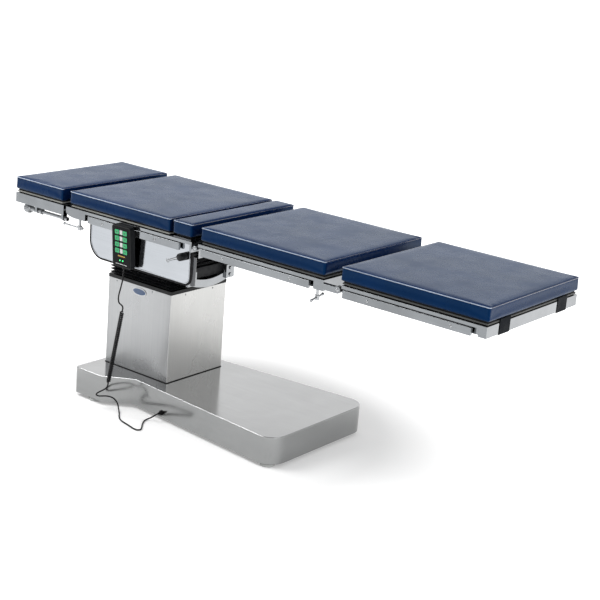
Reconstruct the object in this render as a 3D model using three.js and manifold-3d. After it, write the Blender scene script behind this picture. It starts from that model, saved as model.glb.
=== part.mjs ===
// Electric operating table: five padded sections on a column that lifts and tilts.
// Millimetres. +Z is up, +X points to the foot end and -Y to the side that carries the handset.
// Lengths along X count from the head end until the last lines centre the whole table on the origin.

import * as THREE from 'three';
import { mergeVertices } from 'three/addons/utils/BufferGeometryUtils.js';
import Module from 'manifold-3d';

const wasm = await Module();
wasm.setup();

// Fits shared by every piece
const seatGap = 0.3;
const overrun = 2;
const mergeDistance = 0.0001;
const roundSides = 18;
const smallSides = 10;
const arcSteps = 5;

// Tabletop, from the head end to the foot end
const tableWidth = 520;
const padTopHeight = 723;
const padThickness = 45;
const headPadLength = 240;
const headPadSpace = 38;
const backPadLength = 468;
const kidneyPadSpace = 16;
const kidneyPadLength = 80;
const seatPadSpace = 40;
const seatPadLength = 495;
const legPadSpace = 60;
const legPadLength = 505;

const headPadEnd = headPadLength;
const backPadStart = headPadEnd + headPadSpace;
const backPadEnd = backPadStart + backPadLength;
const kidneyPadStart = backPadEnd + kidneyPadSpace;
const kidneyPadEnd = kidneyPadStart + kidneyPadLength;
const seatPadStart = kidneyPadEnd + seatPadSpace;
const seatPadEnd = seatPadStart + seatPadLength;
const legPadStart = seatPadEnd + legPadSpace;
const tableLength = legPadStart + legPadLength;

// Boards and side beams of the five sections
const padBoardThickness = 12;
const boardThickness = 10;
const beamHeight = 24;
const beamWidth = 20;
const frameOverhang = 2;
const blockDepth = 16;
const crossbarWidth = 14;
const frameHalfWidth = tableWidth / 2 + frameOverhang;
const beamOuter = frameHalfWidth - blockDepth;
const boardTop = padTopHeight - padThickness - padBoardThickness;
const boardBottom = boardTop - boardThickness;
const beamBottom = boardBottom - beamHeight;
const frameEndInset = 3.5;

// Hinges between the sections
const hingeDrop = 17.5;
const hingeHeight = boardTop - hingeDrop;
const hingePinRadius = 6;
const hingePinPlay = 0.3;
const hingeLugRadius = 9;
const hingeLugThickness = 11;
const headHingeLead = 22;
const seatHingeLead = 22;
const legHingeLag = 51;
const headHingeX = backPadStart - headHingeLead;
const seatHingeX = seatPadStart - seatHingeLead;
const legHingeX = seatPadEnd + legHingeLag;
const headFrameClear = 7;
const backFrameClear = 6;
const seatFrameClear = 14;
const legFrameClear = 15;
const lugInset = 66;
const lugInner = frameHalfWidth - lugInset;

// Accessory rails
const railHeight = 24;
const railThickness = 10;
const railStandOff = 6;
const railDrop = 4;
const railBossRadius = 9;
const railScrewRadius = 5;
const railScrewHeight = 1.2;
const railTop = boardBottom - railDrop;
const railOuter = frameHalfWidth;
const railInner = railOuter - railThickness;

// Column, lifting mast and tilting head
const columnLength = 300;
const columnWidth = 282;
const columnWall = 2;
const columnLag = 231;
const pivotDrop = 45;
const saddleDrop = 87;
const bellowsSpace = 80;
const baseTop = 105;
const columnX = backPadStart + columnLag;
const pivotHeight = beamBottom - pivotDrop;
const saddleBottom = pivotHeight - saddleDrop;
const columnTop = saddleBottom - bellowsSpace;

const finish = {
  polishedSteel: { color: 0xc9ccce, metalness: 1, roughness: 0.18 },
  brushedSteel: { color: 0xb4b7b8, metalness: 1, roughness: 0.38 },
  chrome: { color: 0xd9dcde, metalness: 1, roughness: 0.08 },
  paintedIron: { color: 0x3a3d40, metalness: 0.2, roughness: 0.6 },
  castIron: { color: 0x4c4f52, metalness: 0.6, roughness: 0.6 },
  navyVinyl: { color: 0x15284f, metalness: 0, roughness: 0.4 },
  blackRubber: { color: 0x0c0d0f, metalness: 0, roughness: 0.7 },
  blackPlastic: { color: 0x111216, metalness: 0, roughness: 0.45 },
  greyPlastic: { color: 0xd6d8d6, metalness: 0, roughness: 0.5 },
  greenKey: { color: 0x14a455, metalness: 0, roughness: 0.4 },
};
const materials = Object.fromEntries(
  Object.entries(finish).map(([name, values]) => [name, new THREE.MeshStandardMaterial(values)]),
);

const table = new THREE.Group();

function addPiece(name, geometry, materialName, holder = table) {
  const mesh = new THREE.Mesh(geometry, materials[materialName]);
  mesh.name = name;
  holder.add(mesh);
  return mesh;
}

// Closed shapes placed by the range that they fill
function block([x0, x1], [y0, y1], [z0, z1]) {
  const shape = new THREE.BoxGeometry(x1 - x0, y1 - y0, z1 - z0);
  return shape.translate((x0 + x1) / 2, (y0 + y1) / 2, (z0 + z1) / 2);
}

function rodX(radius, [x0, x1], y, z, sides = roundSides) {
  const shape = new THREE.CylinderGeometry(radius, radius, x1 - x0, sides);
  return shape.rotateZ(Math.PI / 2).translate((x0 + x1) / 2, y, z);
}

function rodY(radius, [y0, y1], x, z, sides = roundSides) {
  const shape = new THREE.CylinderGeometry(radius, radius, y1 - y0, sides);
  return shape.translate(x, (y0 + y1) / 2, z);
}

function rodZ(radius, [z0, z1], x, y, sides = roundSides) {
  const shape = new THREE.CylinderGeometry(radius, radius, z1 - z0, sides);
  return shape.rotateX(Math.PI / 2).translate(x, y, (z0 + z1) / 2);
}

// A side is -1 for the near side and 1 for the far side
function across(side, inner, outer) {
  return side < 0 ? [-outer, -inner] : [inner, outer];
}

// An outline drawn in X and Z, given a thickness along Y
function slabY(shape, [y0, y1], curveSegments = arcSteps) {
  const slab = new THREE.ExtrudeGeometry(shape, { depth: y1 - y0, bevelEnabled: false, curveSegments });
  return slab.rotateX(Math.PI / 2).translate(0, y1, 0);
}

// An outline drawn in Y and Z, given a thickness along X
function slabX(shape, [x0, x1], curveSegments = arcSteps) {
  const slab = new THREE.ExtrudeGeometry(shape, { depth: x1 - x0, bevelEnabled: false, curveSegments });
  return slab.rotateX(Math.PI / 2).rotateZ(Math.PI / 2).translate(x0, 0, 0);
}

// An outline drawn in X and Y, given a height along Z
function slabZ(shape, [z0, z1], curveSegments = arcSteps) {
  const slab = new THREE.ExtrudeGeometry(shape, { depth: z1 - z0, bevelEnabled: false, curveSegments });
  return slab.translate(0, 0, z0);
}

function toSolid(geometry) {
  const bare = geometry.clone();
  bare.deleteAttribute('normal');
  bare.deleteAttribute('uv');
  const merged = mergeVertices(bare, mergeDistance);
  const vertProperties = Float32Array.from(merged.attributes.position.array);
  const triVerts = Uint32Array.from(merged.index.array);
  return new wasm.Manifold(new wasm.Mesh({ numProp: 3, vertProperties, triVerts }));
}

function toGeometry(solid) {
  const { vertProperties, triVerts } = solid.getMesh();
  const geometry = new THREE.BufferGeometry();
  geometry.setAttribute('position', new THREE.BufferAttribute(Float32Array.from(vertProperties), 3));
  geometry.setIndex(new THREE.BufferAttribute(Uint32Array.from(triVerts), 1));
  geometry.computeVertexNormals();
  return geometry;
}

function join(...pieces) {
  return toGeometry(pieces.map(toSolid).reduce((whole, piece) => whole.add(piece)));
}

function cut(body, ...tools) {
  return toGeometry(tools.map(toSolid).reduce((left, tool) => left.subtract(tool), toSolid(body)));
}

// Rings of equal length stitched into one skin; a closed stack joins its last ring to its first
function stitchRings(rings, closed) {
  const count = rings[0].length;
  const positions = rings.flat().flatMap((point) => [point.x, point.y, point.z]);
  const faces = [];
  const steps = closed ? rings.length : rings.length - 1;
  for (let level = 0; level < steps; level += 1) {
    const low = level * count;
    const high = ((level + 1) % rings.length) * count;
    for (let i = 0; i < count; i += 1) {
      const next = (i + 1) % count;
      faces.push(low + i, low + next, high + next, low + i, high + next, high + i);
    }
  }
  if (!closed) {
    const ends = [rings[0], rings[rings.length - 1]];
    ends.forEach((ring, end) => {
      const middle = ring.reduce((sum, point) => sum.add(point), new THREE.Vector3()).divideScalar(count);
      const centre = positions.length / 3;
      positions.push(middle.x, middle.y, middle.z);
      const first = end * (rings.length - 1) * count;
      for (let i = 0; i < count; i += 1) {
        const next = (i + 1) % count;
        faces.push(centre, first + (end ? i : next), first + (end ? next : i));
      }
    });
  }
  const geometry = new THREE.BufferGeometry();
  geometry.setAttribute('position', new THREE.Float32BufferAttribute(positions, 3));
  geometry.setIndex(faces);
  geometry.computeVertexNormals();
  return geometry;
}

// Base

const skirtClear = 12;
const baseWall = 2;
const baseHeadReach = 176;
const baseFootReach = 720;
const headBlockLength = 127;
const waistLength = 102;
const headBlockHalfWidth = 261;
const waistHalfWidth = 192.5;
const footHalfWidth = 250.5;
const headCornerRadius = 14;
const footCornerRadius = 60;
const mastHoleMargin = 6;

const baseHeadEnd = columnX - baseHeadReach;
const baseFootEnd = columnX + baseFootReach;
const waistX = baseHeadEnd + headBlockLength + waistLength;

function baseOutline(inset) {
  const head = baseHeadEnd + inset;
  const foot = baseFootEnd - inset;
  const shoulder = baseHeadEnd + headBlockLength - inset;
  const wide = headBlockHalfWidth - inset;
  const narrow = waistHalfWidth - inset;
  const flared = footHalfWidth - inset;
  const headRadius = headCornerRadius - inset;
  const footRadius = footCornerRadius - inset;
  const shape = new THREE.Shape();
  shape.moveTo(head + headRadius, -wide);
  shape.lineTo(shoulder, -wide);
  shape.lineTo(waistX - inset, -narrow);
  shape.lineTo(foot - footRadius, -flared);
  shape.absarc(foot - footRadius, -flared + footRadius, footRadius, -Math.PI / 2, 0, false);
  shape.absarc(foot - footRadius, flared - footRadius, footRadius, 0, Math.PI / 2, false);
  shape.lineTo(waistX - inset, narrow);
  shape.lineTo(shoulder, wide);
  shape.absarc(head + headRadius, wide - headRadius, headRadius, Math.PI / 2, Math.PI, false);
  shape.absarc(head + headRadius, -wide + headRadius, headRadius, Math.PI, Math.PI * 1.5, false);
  return shape;
}

// Mast in the column: a fixed outer tube, a lifting inner tube and the screw actuator inside them
const outerMastLength = 150;
const outerMastWidth = 130;
const mastWall = 13;
const mastPlay = 1;
const innerMastWall = 7;
const trayThickness = 8;
const trayBottom = 20;
const trayTop = trayBottom + trayThickness;
const outerMastTopDrop = 16;
const innerMastLift = 32;

const actuatorRadius = 28;
const actuatorBore = 16;
const actuatorRise = 10;
const actuatorTop = columnTop + actuatorRise;
const actuatorFloor = 30;
const liftRodRadius = 14;
const liftRodLift = 22;

// Cord grommet in the near skirt
const grommetLag = 194;
const grommetX = columnX + grommetLag;
const grommetHeight = 28;
const grommetNeckRadius = 5;
const grommetFlangeRadius = 9;
const grommetFlangeThickness = 3;
const grommetTailRadius = 4.4;
const grommetTailLength = 12;
const grommetReach = 7;
const grommetStandOff = 1.4;
const flareShare = (grommetX - waistX) / (baseFootEnd - footCornerRadius - waistX);
const grommetSkirt = waistHalfWidth + (footHalfWidth - waistHalfWidth) * flareShare;
const grommetFaceY = -(grommetSkirt + grommetStandOff);

function makeBase() {
  const skin = slabZ(baseOutline(0), [skirtClear, baseTop]);
  const hollow = slabZ(baseOutline(baseWall), [skirtClear - overrun, baseTop - baseWall]);
  const mastHole = block(
    [columnX - outerMastLength / 2 - mastHoleMargin, columnX + outerMastLength / 2 + mastHoleMargin],
    [-outerMastWidth / 2 - mastHoleMargin, outerMastWidth / 2 + mastHoleMargin],
    [baseTop - baseWall - overrun, baseTop + overrun],
  );
  const grommetHole = rodY(
    grommetNeckRadius + seatGap,
    [-grommetSkirt - grommetReach, -grommetSkirt + grommetReach],
    grommetX,
    grommetHeight,
    smallSides,
  );
  addPiece('base_cover', cut(skin, hollow, mastHole, grommetHole), 'brushedSteel');
}

const spineHalfWidth = 100;
const spineWall = 6;
const spineHeadInset = 17;
const spineFootInset = 20;
const armLength = 50;
const armHeight = 40;
const headFootInset = 83;
const headFootSideInset = 25;
const footFootInset = 44;
const footFootSideInset = 32.5;
const headFootX = baseHeadEnd + headFootInset;
const headFootY = headBlockHalfWidth - headFootSideInset;
const footFootX = baseFootEnd - footFootInset;
const footFootY = footHalfWidth - footFootSideInset;
const armReach = 4;
const footPadRadius = 25;
const footPadHeight = 9;
const footStemRadius = 8;

function makeChassis() {
  const spineStart = baseHeadEnd + spineHeadInset;
  const spineEnd = baseFootEnd - spineFootInset;
  const wallTop = baseTop - baseWall - seatGap;
  const floor = block([spineStart, spineEnd], [-spineHalfWidth, spineHalfWidth], [trayBottom, trayTop]);
  const tray = block([spineStart, spineEnd], [-spineHalfWidth, spineHalfWidth], [trayBottom, wallTop]);
  const trayHollow = block(
    [spineStart + spineWall, spineEnd - spineWall],
    [-spineHalfWidth + spineWall, spineHalfWidth - spineWall],
    [trayTop, wallTop + overrun],
  );
  const arms = [
    [headFootX, headFootY],
    [footFootX, footFootY],
  ].flatMap(([x, y]) =>
    [-1, 1].map((side) =>
      block(
        [x - armLength / 2, x + armLength / 2],
        across(side, spineHalfWidth - spineWall, y + footStemRadius + armReach),
        [trayBottom, trayBottom + armHeight],
      ),
    ),
  );
  addPiece('base_frame', join(floor, cut(tray, trayHollow), ...arms), 'paintedIron');

  const places = [
    ['foot_head_near', headFootX, -headFootY],
    ['foot_head_far', headFootX, headFootY],
    ['foot_leg_near', footFootX, -footFootY],
    ['foot_leg_far', footFootX, footFootY],
  ];
  for (const [name, x, y] of places) {
    const foot = join(
      rodZ(footPadRadius, [0, footPadHeight], 0, 0),
      rodZ(footStemRadius, [footPadHeight / 2, trayBottom - seatGap], 0, 0, smallSides),
    );
    addPiece(name, foot, 'greyPlastic').position.set(x, y, 0);
  }
}

const batteryLag = 181;
const batteryLength = 165;
const batteryHalfWidth = 82;
const batteryHeight = 66;
const controlSpace = 25;
const controlLength = 150;
const controlHeight = 52;
const batteryStart = columnX + batteryLag;
const controlStart = batteryStart + batteryLength + controlSpace;
const boxSeat = trayTop + seatGap;

function makeElectrics() {
  const boxes = [
    ['battery_pack', batteryStart, batteryLength, batteryHeight, 'blackPlastic'],
    ['control_box', controlStart, controlLength, controlHeight, 'greyPlastic'],
  ];
  for (const [name, start, length, height, material] of boxes) {
    const shape = block([start, start + length], [-batteryHalfWidth, batteryHalfWidth], [boxSeat, boxSeat + height]);
    addPiece(name, shape, material);
  }
}

function makeColumn() {
  const halfLength = columnLength / 2;
  const halfWidth = columnWidth / 2;
  const cover = cut(
    block([columnX - halfLength, columnX + halfLength], [-halfWidth, halfWidth], [baseTop + seatGap, columnTop]),
    block(
      [columnX - halfLength + columnWall, columnX + halfLength - columnWall],
      [-halfWidth + columnWall, halfWidth - columnWall],
      [baseTop - overrun, columnTop + overrun],
    ),
  );
  addPiece('column_cover', cover, 'brushedSteel');
}

function mastTube(length, width, wall, range) {
  return cut(
    block([columnX - length / 2, columnX + length / 2], [-width / 2, width / 2], range),
    block(
      [columnX - length / 2 + wall, columnX + length / 2 - wall],
      [-width / 2 + wall, width / 2 - wall],
      [range[0] - overrun, range[1] + overrun],
    ),
  );
}

function makeMasts() {
  const outer = mastTube(outerMastLength, outerMastWidth, mastWall, [trayTop + seatGap, columnTop - outerMastTopDrop]);
  addPiece('outer_mast', outer, 'castIron');
  const innerLength = outerMastLength - 2 * (mastWall + mastPlay);
  const innerWidth = outerMastWidth - 2 * (mastWall + mastPlay);
  const inner = mastTube(innerLength, innerWidth, innerMastWall, [trayTop + innerMastLift, saddleBottom - seatGap]);
  addPiece('inner_mast', inner, 'brushedSteel');
  const actuator = cut(
    rodZ(actuatorRadius, [boxSeat, actuatorTop], columnX, 0),
    rodZ(actuatorBore, [boxSeat + actuatorFloor, actuatorTop + overrun], columnX, 0),
  );
  addPiece('lift_actuator', actuator, 'castIron');
  const rodFoot = boxSeat + actuatorFloor + liftRodLift;
  addPiece('lift_rod', rodZ(liftRodRadius, [rodFoot, saddleBottom - seatGap], columnX, 0), 'chrome');
}

// Folded rubber boots: each fold is two rings of eight points round a straight bore
function foldRing(halfLength, halfWidth, corner, inset, z, centreX) {
  const longSide = halfLength - inset;
  const shortSide = halfWidth - inset;
  const signs = [
    [1, -1, 1],
    [1, 1, 0],
    [-1, 1, 1],
    [-1, -1, 0],
  ];
  return signs.flatMap(([sx, sy, lengthFirst]) => {
    const alongX = new THREE.Vector3(centreX + sx * (longSide - corner), sy * shortSide, z);
    const alongY = new THREE.Vector3(centreX + sx * longSide, sy * (shortSide - corner), z);
    return lengthFirst ? [alongX, alongY] : [alongY, alongX];
  });
}

function foldedBoot({ centreX, length, width, corner, depth, wall, folds, bottom, top }) {
  const pitch = (top - bottom) / folds;
  const half = [length / 2, width / 2, corner];
  const rings = [];
  for (let fold = 0; fold < folds; fold += 1) {
    rings.push(foldRing(...half, depth, bottom + fold * pitch, centreX));
    rings.push(foldRing(...half, 0, bottom + (fold + 0.5) * pitch, centreX));
  }
  rings.push(foldRing(...half, depth, top, centreX));
  rings.push(foldRing(...half, depth + wall, top, centreX));
  rings.push(foldRing(...half, depth + wall, bottom, centreX));
  return stitchRings(rings, true);
}

const frameStripHeight = 12;
const bellowsProud = 1;
const bellowsCorner = 8;
const bellowsDepth = 16;
const bellowsWall = 2.5;
const bellowsFolds = 6;
const bellowsFrameHoleMargin = 5;
const bellowsBottom = columnTop + frameStripHeight + 2 * seatGap;

const saddleThickness = 10;
const saddleTop = saddleBottom + saddleThickness;
const saddleHeadInset = 3;
const saddleFootOverhang = 32;
const saddleSideInset = 4;
const saddleHeadReach = columnLength / 2 - saddleHeadInset;
const saddleFootReach = columnLength / 2 + saddleFootOverhang;
const saddleHalfWidth = columnWidth / 2 - saddleSideInset;
const bootHalfInset = 6;
const bootHeight = 102;
const bootFolds = 7;
const bootCorner = 20;
const bootDepth = 14;
const bootWall = 2.5;

function makeBoots() {
  const halfLength = columnLength / 2;
  const halfWidth = columnWidth / 2;
  const strip = cut(
    block(
      [columnX - halfLength, columnX + halfLength],
      [-halfWidth, halfWidth],
      [columnTop + seatGap, columnTop + seatGap + frameStripHeight],
    ),
    block(
      [
        columnX - outerMastLength / 2 - bellowsFrameHoleMargin,
        columnX + outerMastLength / 2 + bellowsFrameHoleMargin,
      ],
      [-outerMastWidth / 2 - bellowsFrameHoleMargin, outerMastWidth / 2 + bellowsFrameHoleMargin],
      [columnTop - overrun, columnTop + frameStripHeight + overrun],
    ),
  );
  addPiece('bellows_frame', strip, 'blackPlastic');
  const bellows = foldedBoot({
    centreX: columnX,
    length: columnLength + 2 * bellowsProud,
    width: columnWidth + 2 * bellowsProud,
    corner: bellowsCorner,
    depth: bellowsDepth,
    wall: bellowsWall,
    folds: bellowsFolds,
    bottom: bellowsBottom,
    top: saddleBottom - seatGap,
  });
  addPiece('column_bellows', bellows, 'blackRubber');
  const boot = foldedBoot({
    centreX: columnX + (saddleFootReach - saddleHeadReach) / 2,
    length: saddleHeadReach + saddleFootReach,
    width: 2 * (saddleHalfWidth - bootHalfInset),
    corner: bootCorner,
    depth: bootDepth,
    wall: bootWall,
    folds: bootFolds,
    bottom: saddleTop + seatGap,
    top: saddleTop + bootHeight,
  });
  addPiece('tilt_boot', boot, 'blackRubber');
}

// Saddle on the inner mast, with the cheeks that hold the pitch axle
const cheekInner = 84;
const cheekThickness = 16;
const cheekHalfLength = 30;
const cheekRadius = 28;
const trunnionRadius = 15;
const axlePlay = 0.3;
const dropLength = 28;
const dropHeight = 26;
const dropHalfWidth = 90;

// A plate that stands on a level and ends in a round eye
function eyePlate(x, baseZ, eyeZ, halfLength, radius) {
  const shape = new THREE.Shape();
  shape.moveTo(x - halfLength, baseZ);
  shape.lineTo(x + halfLength, baseZ);
  shape.lineTo(x + radius, eyeZ);
  shape.absarc(x, eyeZ, radius, 0, Math.PI, false);
  shape.closePath();
  return shape;
}

function makeSaddle() {
  const footEnd = columnX + saddleFootReach;
  const plate = block(
    [columnX - saddleHeadReach, footEnd],
    [-saddleHalfWidth, saddleHalfWidth],
    [saddleBottom, saddleTop],
  );
  const drop = block(
    [footEnd - dropLength, footEnd],
    [-dropHalfWidth, dropHalfWidth],
    [saddleBottom - dropHeight, saddleBottom + overrun],
  );
  const cheeks = [-1, 1].map((side) =>
    slabY(
      eyePlate(columnX, saddleTop - overrun, pivotHeight, cheekHalfLength, cheekRadius),
      across(side, cheekInner, cheekInner + cheekThickness),
    ),
  );
  const axleBore = rodY(
    trunnionRadius + axlePlay,
    [-cheekInner - cheekThickness - overrun, cheekInner + cheekThickness + overrun],
    columnX,
    pivotHeight,
  );
  addPiece('saddle_core', cut(join(plate, drop, ...cheeks), axleBore), 'paintedIron');
}

// Polished end yoke below the seat end, with its bolted ear
const yokeThickness = 12;
const yokeArmOuter = 103;
const yokeBand = 27;
const yokeDrop = 60;
const yokeRadius = 275;
const yokeArmRise = 20;
const yokeEarReach = 14;
const yokeEarDrop = 42;
const yokeEarRise = 5;
const yokeBottom = saddleBottom - yokeDrop;
const yokeArmTop = saddleBottom + yokeArmRise;
const yokeEarBottom = saddleBottom - yokeEarDrop;
const yokeEarTop = saddleBottom + yokeEarRise;
const yokeEarThickness = 8;
const yokeBoltRadius = 6;
const yokeBoltHeight = 4;
const yokeCorner = 14;

function makeYoke() {
  const face = columnX + saddleFootReach + seatGap;
  const arcCentre = yokeBottom + yokeRadius;
  const innerRadius = yokeRadius - yokeBand;
  const armInner = yokeArmOuter - yokeBand;
  const spread = Math.asin(yokeArmOuter / yokeRadius);
  const innerSpread = Math.asin((armInner - yokeCorner) / innerRadius);
  const innerLow = arcCentre - innerRadius * Math.cos(innerSpread);
  const shape = new THREE.Shape();
  shape.absarc(0, arcCentre, yokeRadius, -Math.PI / 2 - spread, -Math.PI / 2 + spread, false);
  shape.lineTo(yokeArmOuter, yokeArmTop);
  shape.lineTo(armInner, yokeArmTop);
  shape.lineTo(armInner, innerLow + yokeCorner);
  shape.quadraticCurveTo(armInner, innerLow, armInner - yokeCorner, innerLow);
  shape.absarc(0, arcCentre, innerRadius, -Math.PI / 2 + innerSpread, -Math.PI / 2 - innerSpread, true);
  shape.quadraticCurveTo(-armInner, innerLow, -armInner, innerLow + yokeCorner);
  shape.lineTo(-armInner, yokeArmTop);
  shape.lineTo(-yokeArmOuter, yokeArmTop);
  shape.closePath();
  const boltInset = (yokeEarTop - yokeEarBottom) / 4;
  const ears = [-1, 1].flatMap((side) => {
    const ear = block(
      [face + yokeThickness - overrun, face + yokeThickness + yokeEarThickness],
      across(side, armInner, yokeArmOuter + yokeEarReach),
      [yokeEarBottom, yokeEarTop],
    );
    const bolts = [yokeEarBottom + boltInset, yokeEarTop - boltInset].map((z) =>
      rodX(
        yokeBoltRadius,
        [face + yokeThickness, face + yokeThickness + yokeEarThickness + yokeBoltHeight],
        (side * (armInner + yokeArmOuter + yokeEarReach)) / 2,
        z,
        smallSides,
      ),
    );
    return [ear, ...bolts];
  });
  addPiece('end_yoke', join(slabX(shape, [face, face + yokeThickness]), ...ears), 'polishedSteel');
}

// Tilting head: a cross-shaped block turns in the cheeks, and the tabletop hangers turn on it
const blockHalfLength = 32;
const blockHalfWidth = 60;
const blockHalfHeight = 24;
const rollAxleRadius = 13;
const hangerInner = 54;
const hangerThickness = 12;
const hangerRadius = 20;
const hangerHalfWidth = 50;
const hangerPlateThickness = 8;
const hangerPlateHalfWidth = 60;

function makeTiltHead() {
  const rollEnd = hangerInner + hangerThickness;
  const pitchEnd = cheekInner + cheekThickness;
  const cross = join(
    block(
      [columnX - blockHalfLength, columnX + blockHalfLength],
      [-blockHalfWidth, blockHalfWidth],
      [pivotHeight - blockHalfHeight, pivotHeight + blockHalfHeight],
    ),
    rodY(trunnionRadius, [-pitchEnd, pitchEnd], columnX, pivotHeight),
    rodX(rollAxleRadius, [columnX - rollEnd, columnX + rollEnd], 0, pivotHeight),
  );
  addPiece('gimbal_block', cross, 'castIron');

  const plateBottom = boardBottom - seatGap - hangerPlateThickness;
  const hangers = [-1, 1].map((side) => {
    const shape = new THREE.Shape();
    shape.moveTo(-hangerHalfWidth, plateBottom + overrun);
    shape.lineTo(-hangerRadius, pivotHeight);
    shape.absarc(0, pivotHeight, hangerRadius, Math.PI, Math.PI * 2, false);
    shape.lineTo(hangerHalfWidth, plateBottom + overrun);
    shape.closePath();
    const [x0, x1] = across(side, hangerInner, hangerInner + hangerThickness);
    return slabX(shape, [columnX + x0, columnX + x1]);
  });
  const plate = block(
    [columnX - rollEnd, columnX + rollEnd],
    [-hangerPlateHalfWidth, hangerPlateHalfWidth],
    [plateBottom, boardBottom - seatGap],
  );
  const bore = rodX(rollAxleRadius + axlePlay, [columnX - rollEnd - overrun, columnX + rollEnd + overrun], 0, pivotHeight);
  addPiece('tilt_bracket', cut(join(plate, ...hangers), bore), 'paintedIron');
}

// Kidney bridge: two posts that run in guides, lifted by the pinions on the crank shaft
const kidneyPlateThickness = 5.4;
const postRadius = 9;
const postPlay = 0.4;
const postInset = 16;
const postY = lugInner - postInset;
const pinionPitchRadius = 10;
const shaftLag = 44;
const shaftDrop = 23;
const shaftX = kidneyPadStart + shaftLag;
const shaftHeight = beamBottom - shaftDrop;
const shaftRadius = 7;
const pinionHalfWidth = 6;
const postX = shaftX - pinionPitchRadius - postRadius;
const guideDrop = 13;
const guideBottom = shaftHeight - guideDrop;
const guideHalfWidth = 16;
const guideWall = 5;
const guideFootOverhang = 14;
const kidneyStroke = 100;

// Side plates hang under the back section
const plateHeadReach = 142;
const plateEndInset = 6;
const plateDepth = 141;
const plateTopDrop = 3;
const plateStart = columnX - plateHeadReach;
const plateEnd = kidneyPadEnd - plateEndInset;
const plateBottom = boardBottom - plateTopDrop - plateDepth;
const plateThickness = 6;
const plateHeadRadius = 62;
const plateFootRadius = 28;
const plateOuter = railInner - railStandOff;

const backBeamOuter = plateOuter - plateThickness - seatGap;
const backBlockLength = 78;
const backRailLag = 12;
const backRailClear = 16;
const backBlockEnd = backPadStart + backBlockLength;
const backRailStart = backBlockEnd + backRailLag;
const backRailEnd = shaftX - backRailClear;
const backScrewShares = [0.17, 0.746];
const backFrameEnd = seatHingeX - seatFrameClear;
const backCurveLength = 42;
const backCurveHeight = 17;

const seatBlockLength = 37;
const seatRailLag = 3;
const seatRailClear = 18;
const seatBlockStart = seatPadEnd - seatBlockLength;
const seatRailStart = seatPadStart + seatRailLag;
const seatRailEnd = seatBlockStart - seatRailClear;
const seatScrewShares = [0.21, 0.83];
const seatBossInset = 11;
const seatBossInner = frameHalfWidth - seatBossInset;
const legLugRadius = 11.5;
const legRailLag = 10;
const legBlockLength = 28;
const legRailClear = 24;
const legBlockStart = tableLength - legBlockLength;
const legRailStart = legPadStart + legRailLag;
const legRailEnd = legBlockStart - legRailClear;
const legScrewShares = [0.203, 0.851];
const legFrameEnd = tableLength - frameOverhang;
const legLugRoot = 30;

// Tray of a section: its board, two side beams, end blocks and crossbars
function sectionTray({ start, end, beamStart, beamEnd, outer, blocks, bars }) {
  const pieces = [block([start, end], [-frameHalfWidth, frameHalfWidth], [boardBottom, boardTop])];
  const level = [beamBottom, boardBottom + overrun];
  for (const side of [-1, 1]) {
    pieces.push(block([beamStart, beamEnd], across(side, outer - beamWidth, outer), level));
    for (const [from, to] of blocks) {
      pieces.push(block([from, to], across(side, outer - overrun, frameHalfWidth), level));
    }
  }
  for (const x of bars) {
    pieces.push(block([x, x + crossbarWidth], [-outer + overrun, outer - overrun], level));
  }
  return join(...pieces);
}

// A hinge lug reaches from its frame to the pin and has a round end
function hingeLug(pinX, rootX, side, inner, outer, radius = hingeLugRadius) {
  const low = hingeHeight - radius;
  const high = hingeHeight + radius;
  const eye = rodY(radius, across(side, inner, outer), pinX, hingeHeight);
  const range = [Math.min(pinX, rootX), Math.max(pinX, rootX)];
  const arm = block(range, across(side, inner, outer), [low, Math.min(high, boardBottom)]);
  return join(eye, arm);
}

function hingeBores(pinX) {
  return rodY(hingePinRadius + hingePinPlay, [-frameHalfWidth - overrun, frameHalfWidth + overrun], pinX, hingeHeight);
}

const childLugInner = lugInner + hingeLugThickness + seatGap;
const childLugOuter = childLugInner + hingeLugThickness;

function hingePin(pinX, side, inner, outer) {
  return rodY(hingePinRadius, across(side, inner, outer), pinX, hingeHeight);
}

function makeHeadSection() {
  const end = headHingeX - headFrameClear;
  const tray = sectionTray({
    start: frameEndInset,
    end,
    beamStart: frameEndInset,
    beamEnd: end,
    outer: frameHalfWidth,
    blocks: [],
    bars: [frameEndInset, end - crossbarWidth - backFrameClear],
  });
  const lugs = [-1, 1].flatMap((side) => [
    hingeLug(headHingeX, end - crossbarWidth, side, childLugInner, childLugOuter),
    hingePin(headHingeX, side, lugInner, childLugOuter),
  ]);
  addPiece('head_frame', join(tray, ...lugs, ...headRodEars()), 'polishedSteel');
}

// Clamp rod under the near edge of the head section
const clampInset = 24;
const clampY = frameHalfWidth - clampInset;
const clampDrop = 18.4;
const clampRodRadius = 6.5;
const clampKnobRadius = 17.6;
const clampKnobStart = 33;
const clampKnobEnd = 62;
const clampNeckRadius = 6.5;
const clampCollarRadius = 10;
const clampCollarStart = 106;
const clampCollarEnd = 120;
const clampCapInset = 4;
const clampCapLength = 11;
const clampCapStart = headPadEnd - clampCapInset;
const clampCapEnd = clampCapStart + clampCapLength;
const clampCapRadius = 7.5;
const clampEarThickness = 10;
const clampEarRadius = 9.5;
const clampEarPlay = 0.4;
const clampEarHead = 88;
const clampEarInset = 18;
const clampEarFoot = headPadEnd - clampEarInset;
const clampHeight = beamBottom - clampDrop;

function headRodEars() {
  return [clampEarHead, clampEarFoot].map((x) => {
    const ear = join(
      rodX(clampEarRadius, [x, x + clampEarThickness], -clampY, clampHeight),
      block(
        [x, x + clampEarThickness],
        [-clampY - clampEarRadius, -clampY + clampEarRadius],
        [clampHeight, beamBottom + overrun],
      ),
    );
    return cut(
      ear,
      rodX(clampRodRadius + clampEarPlay, [x - overrun, x + clampEarThickness + overrun], -clampY, clampHeight),
    );
  });
}

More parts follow.
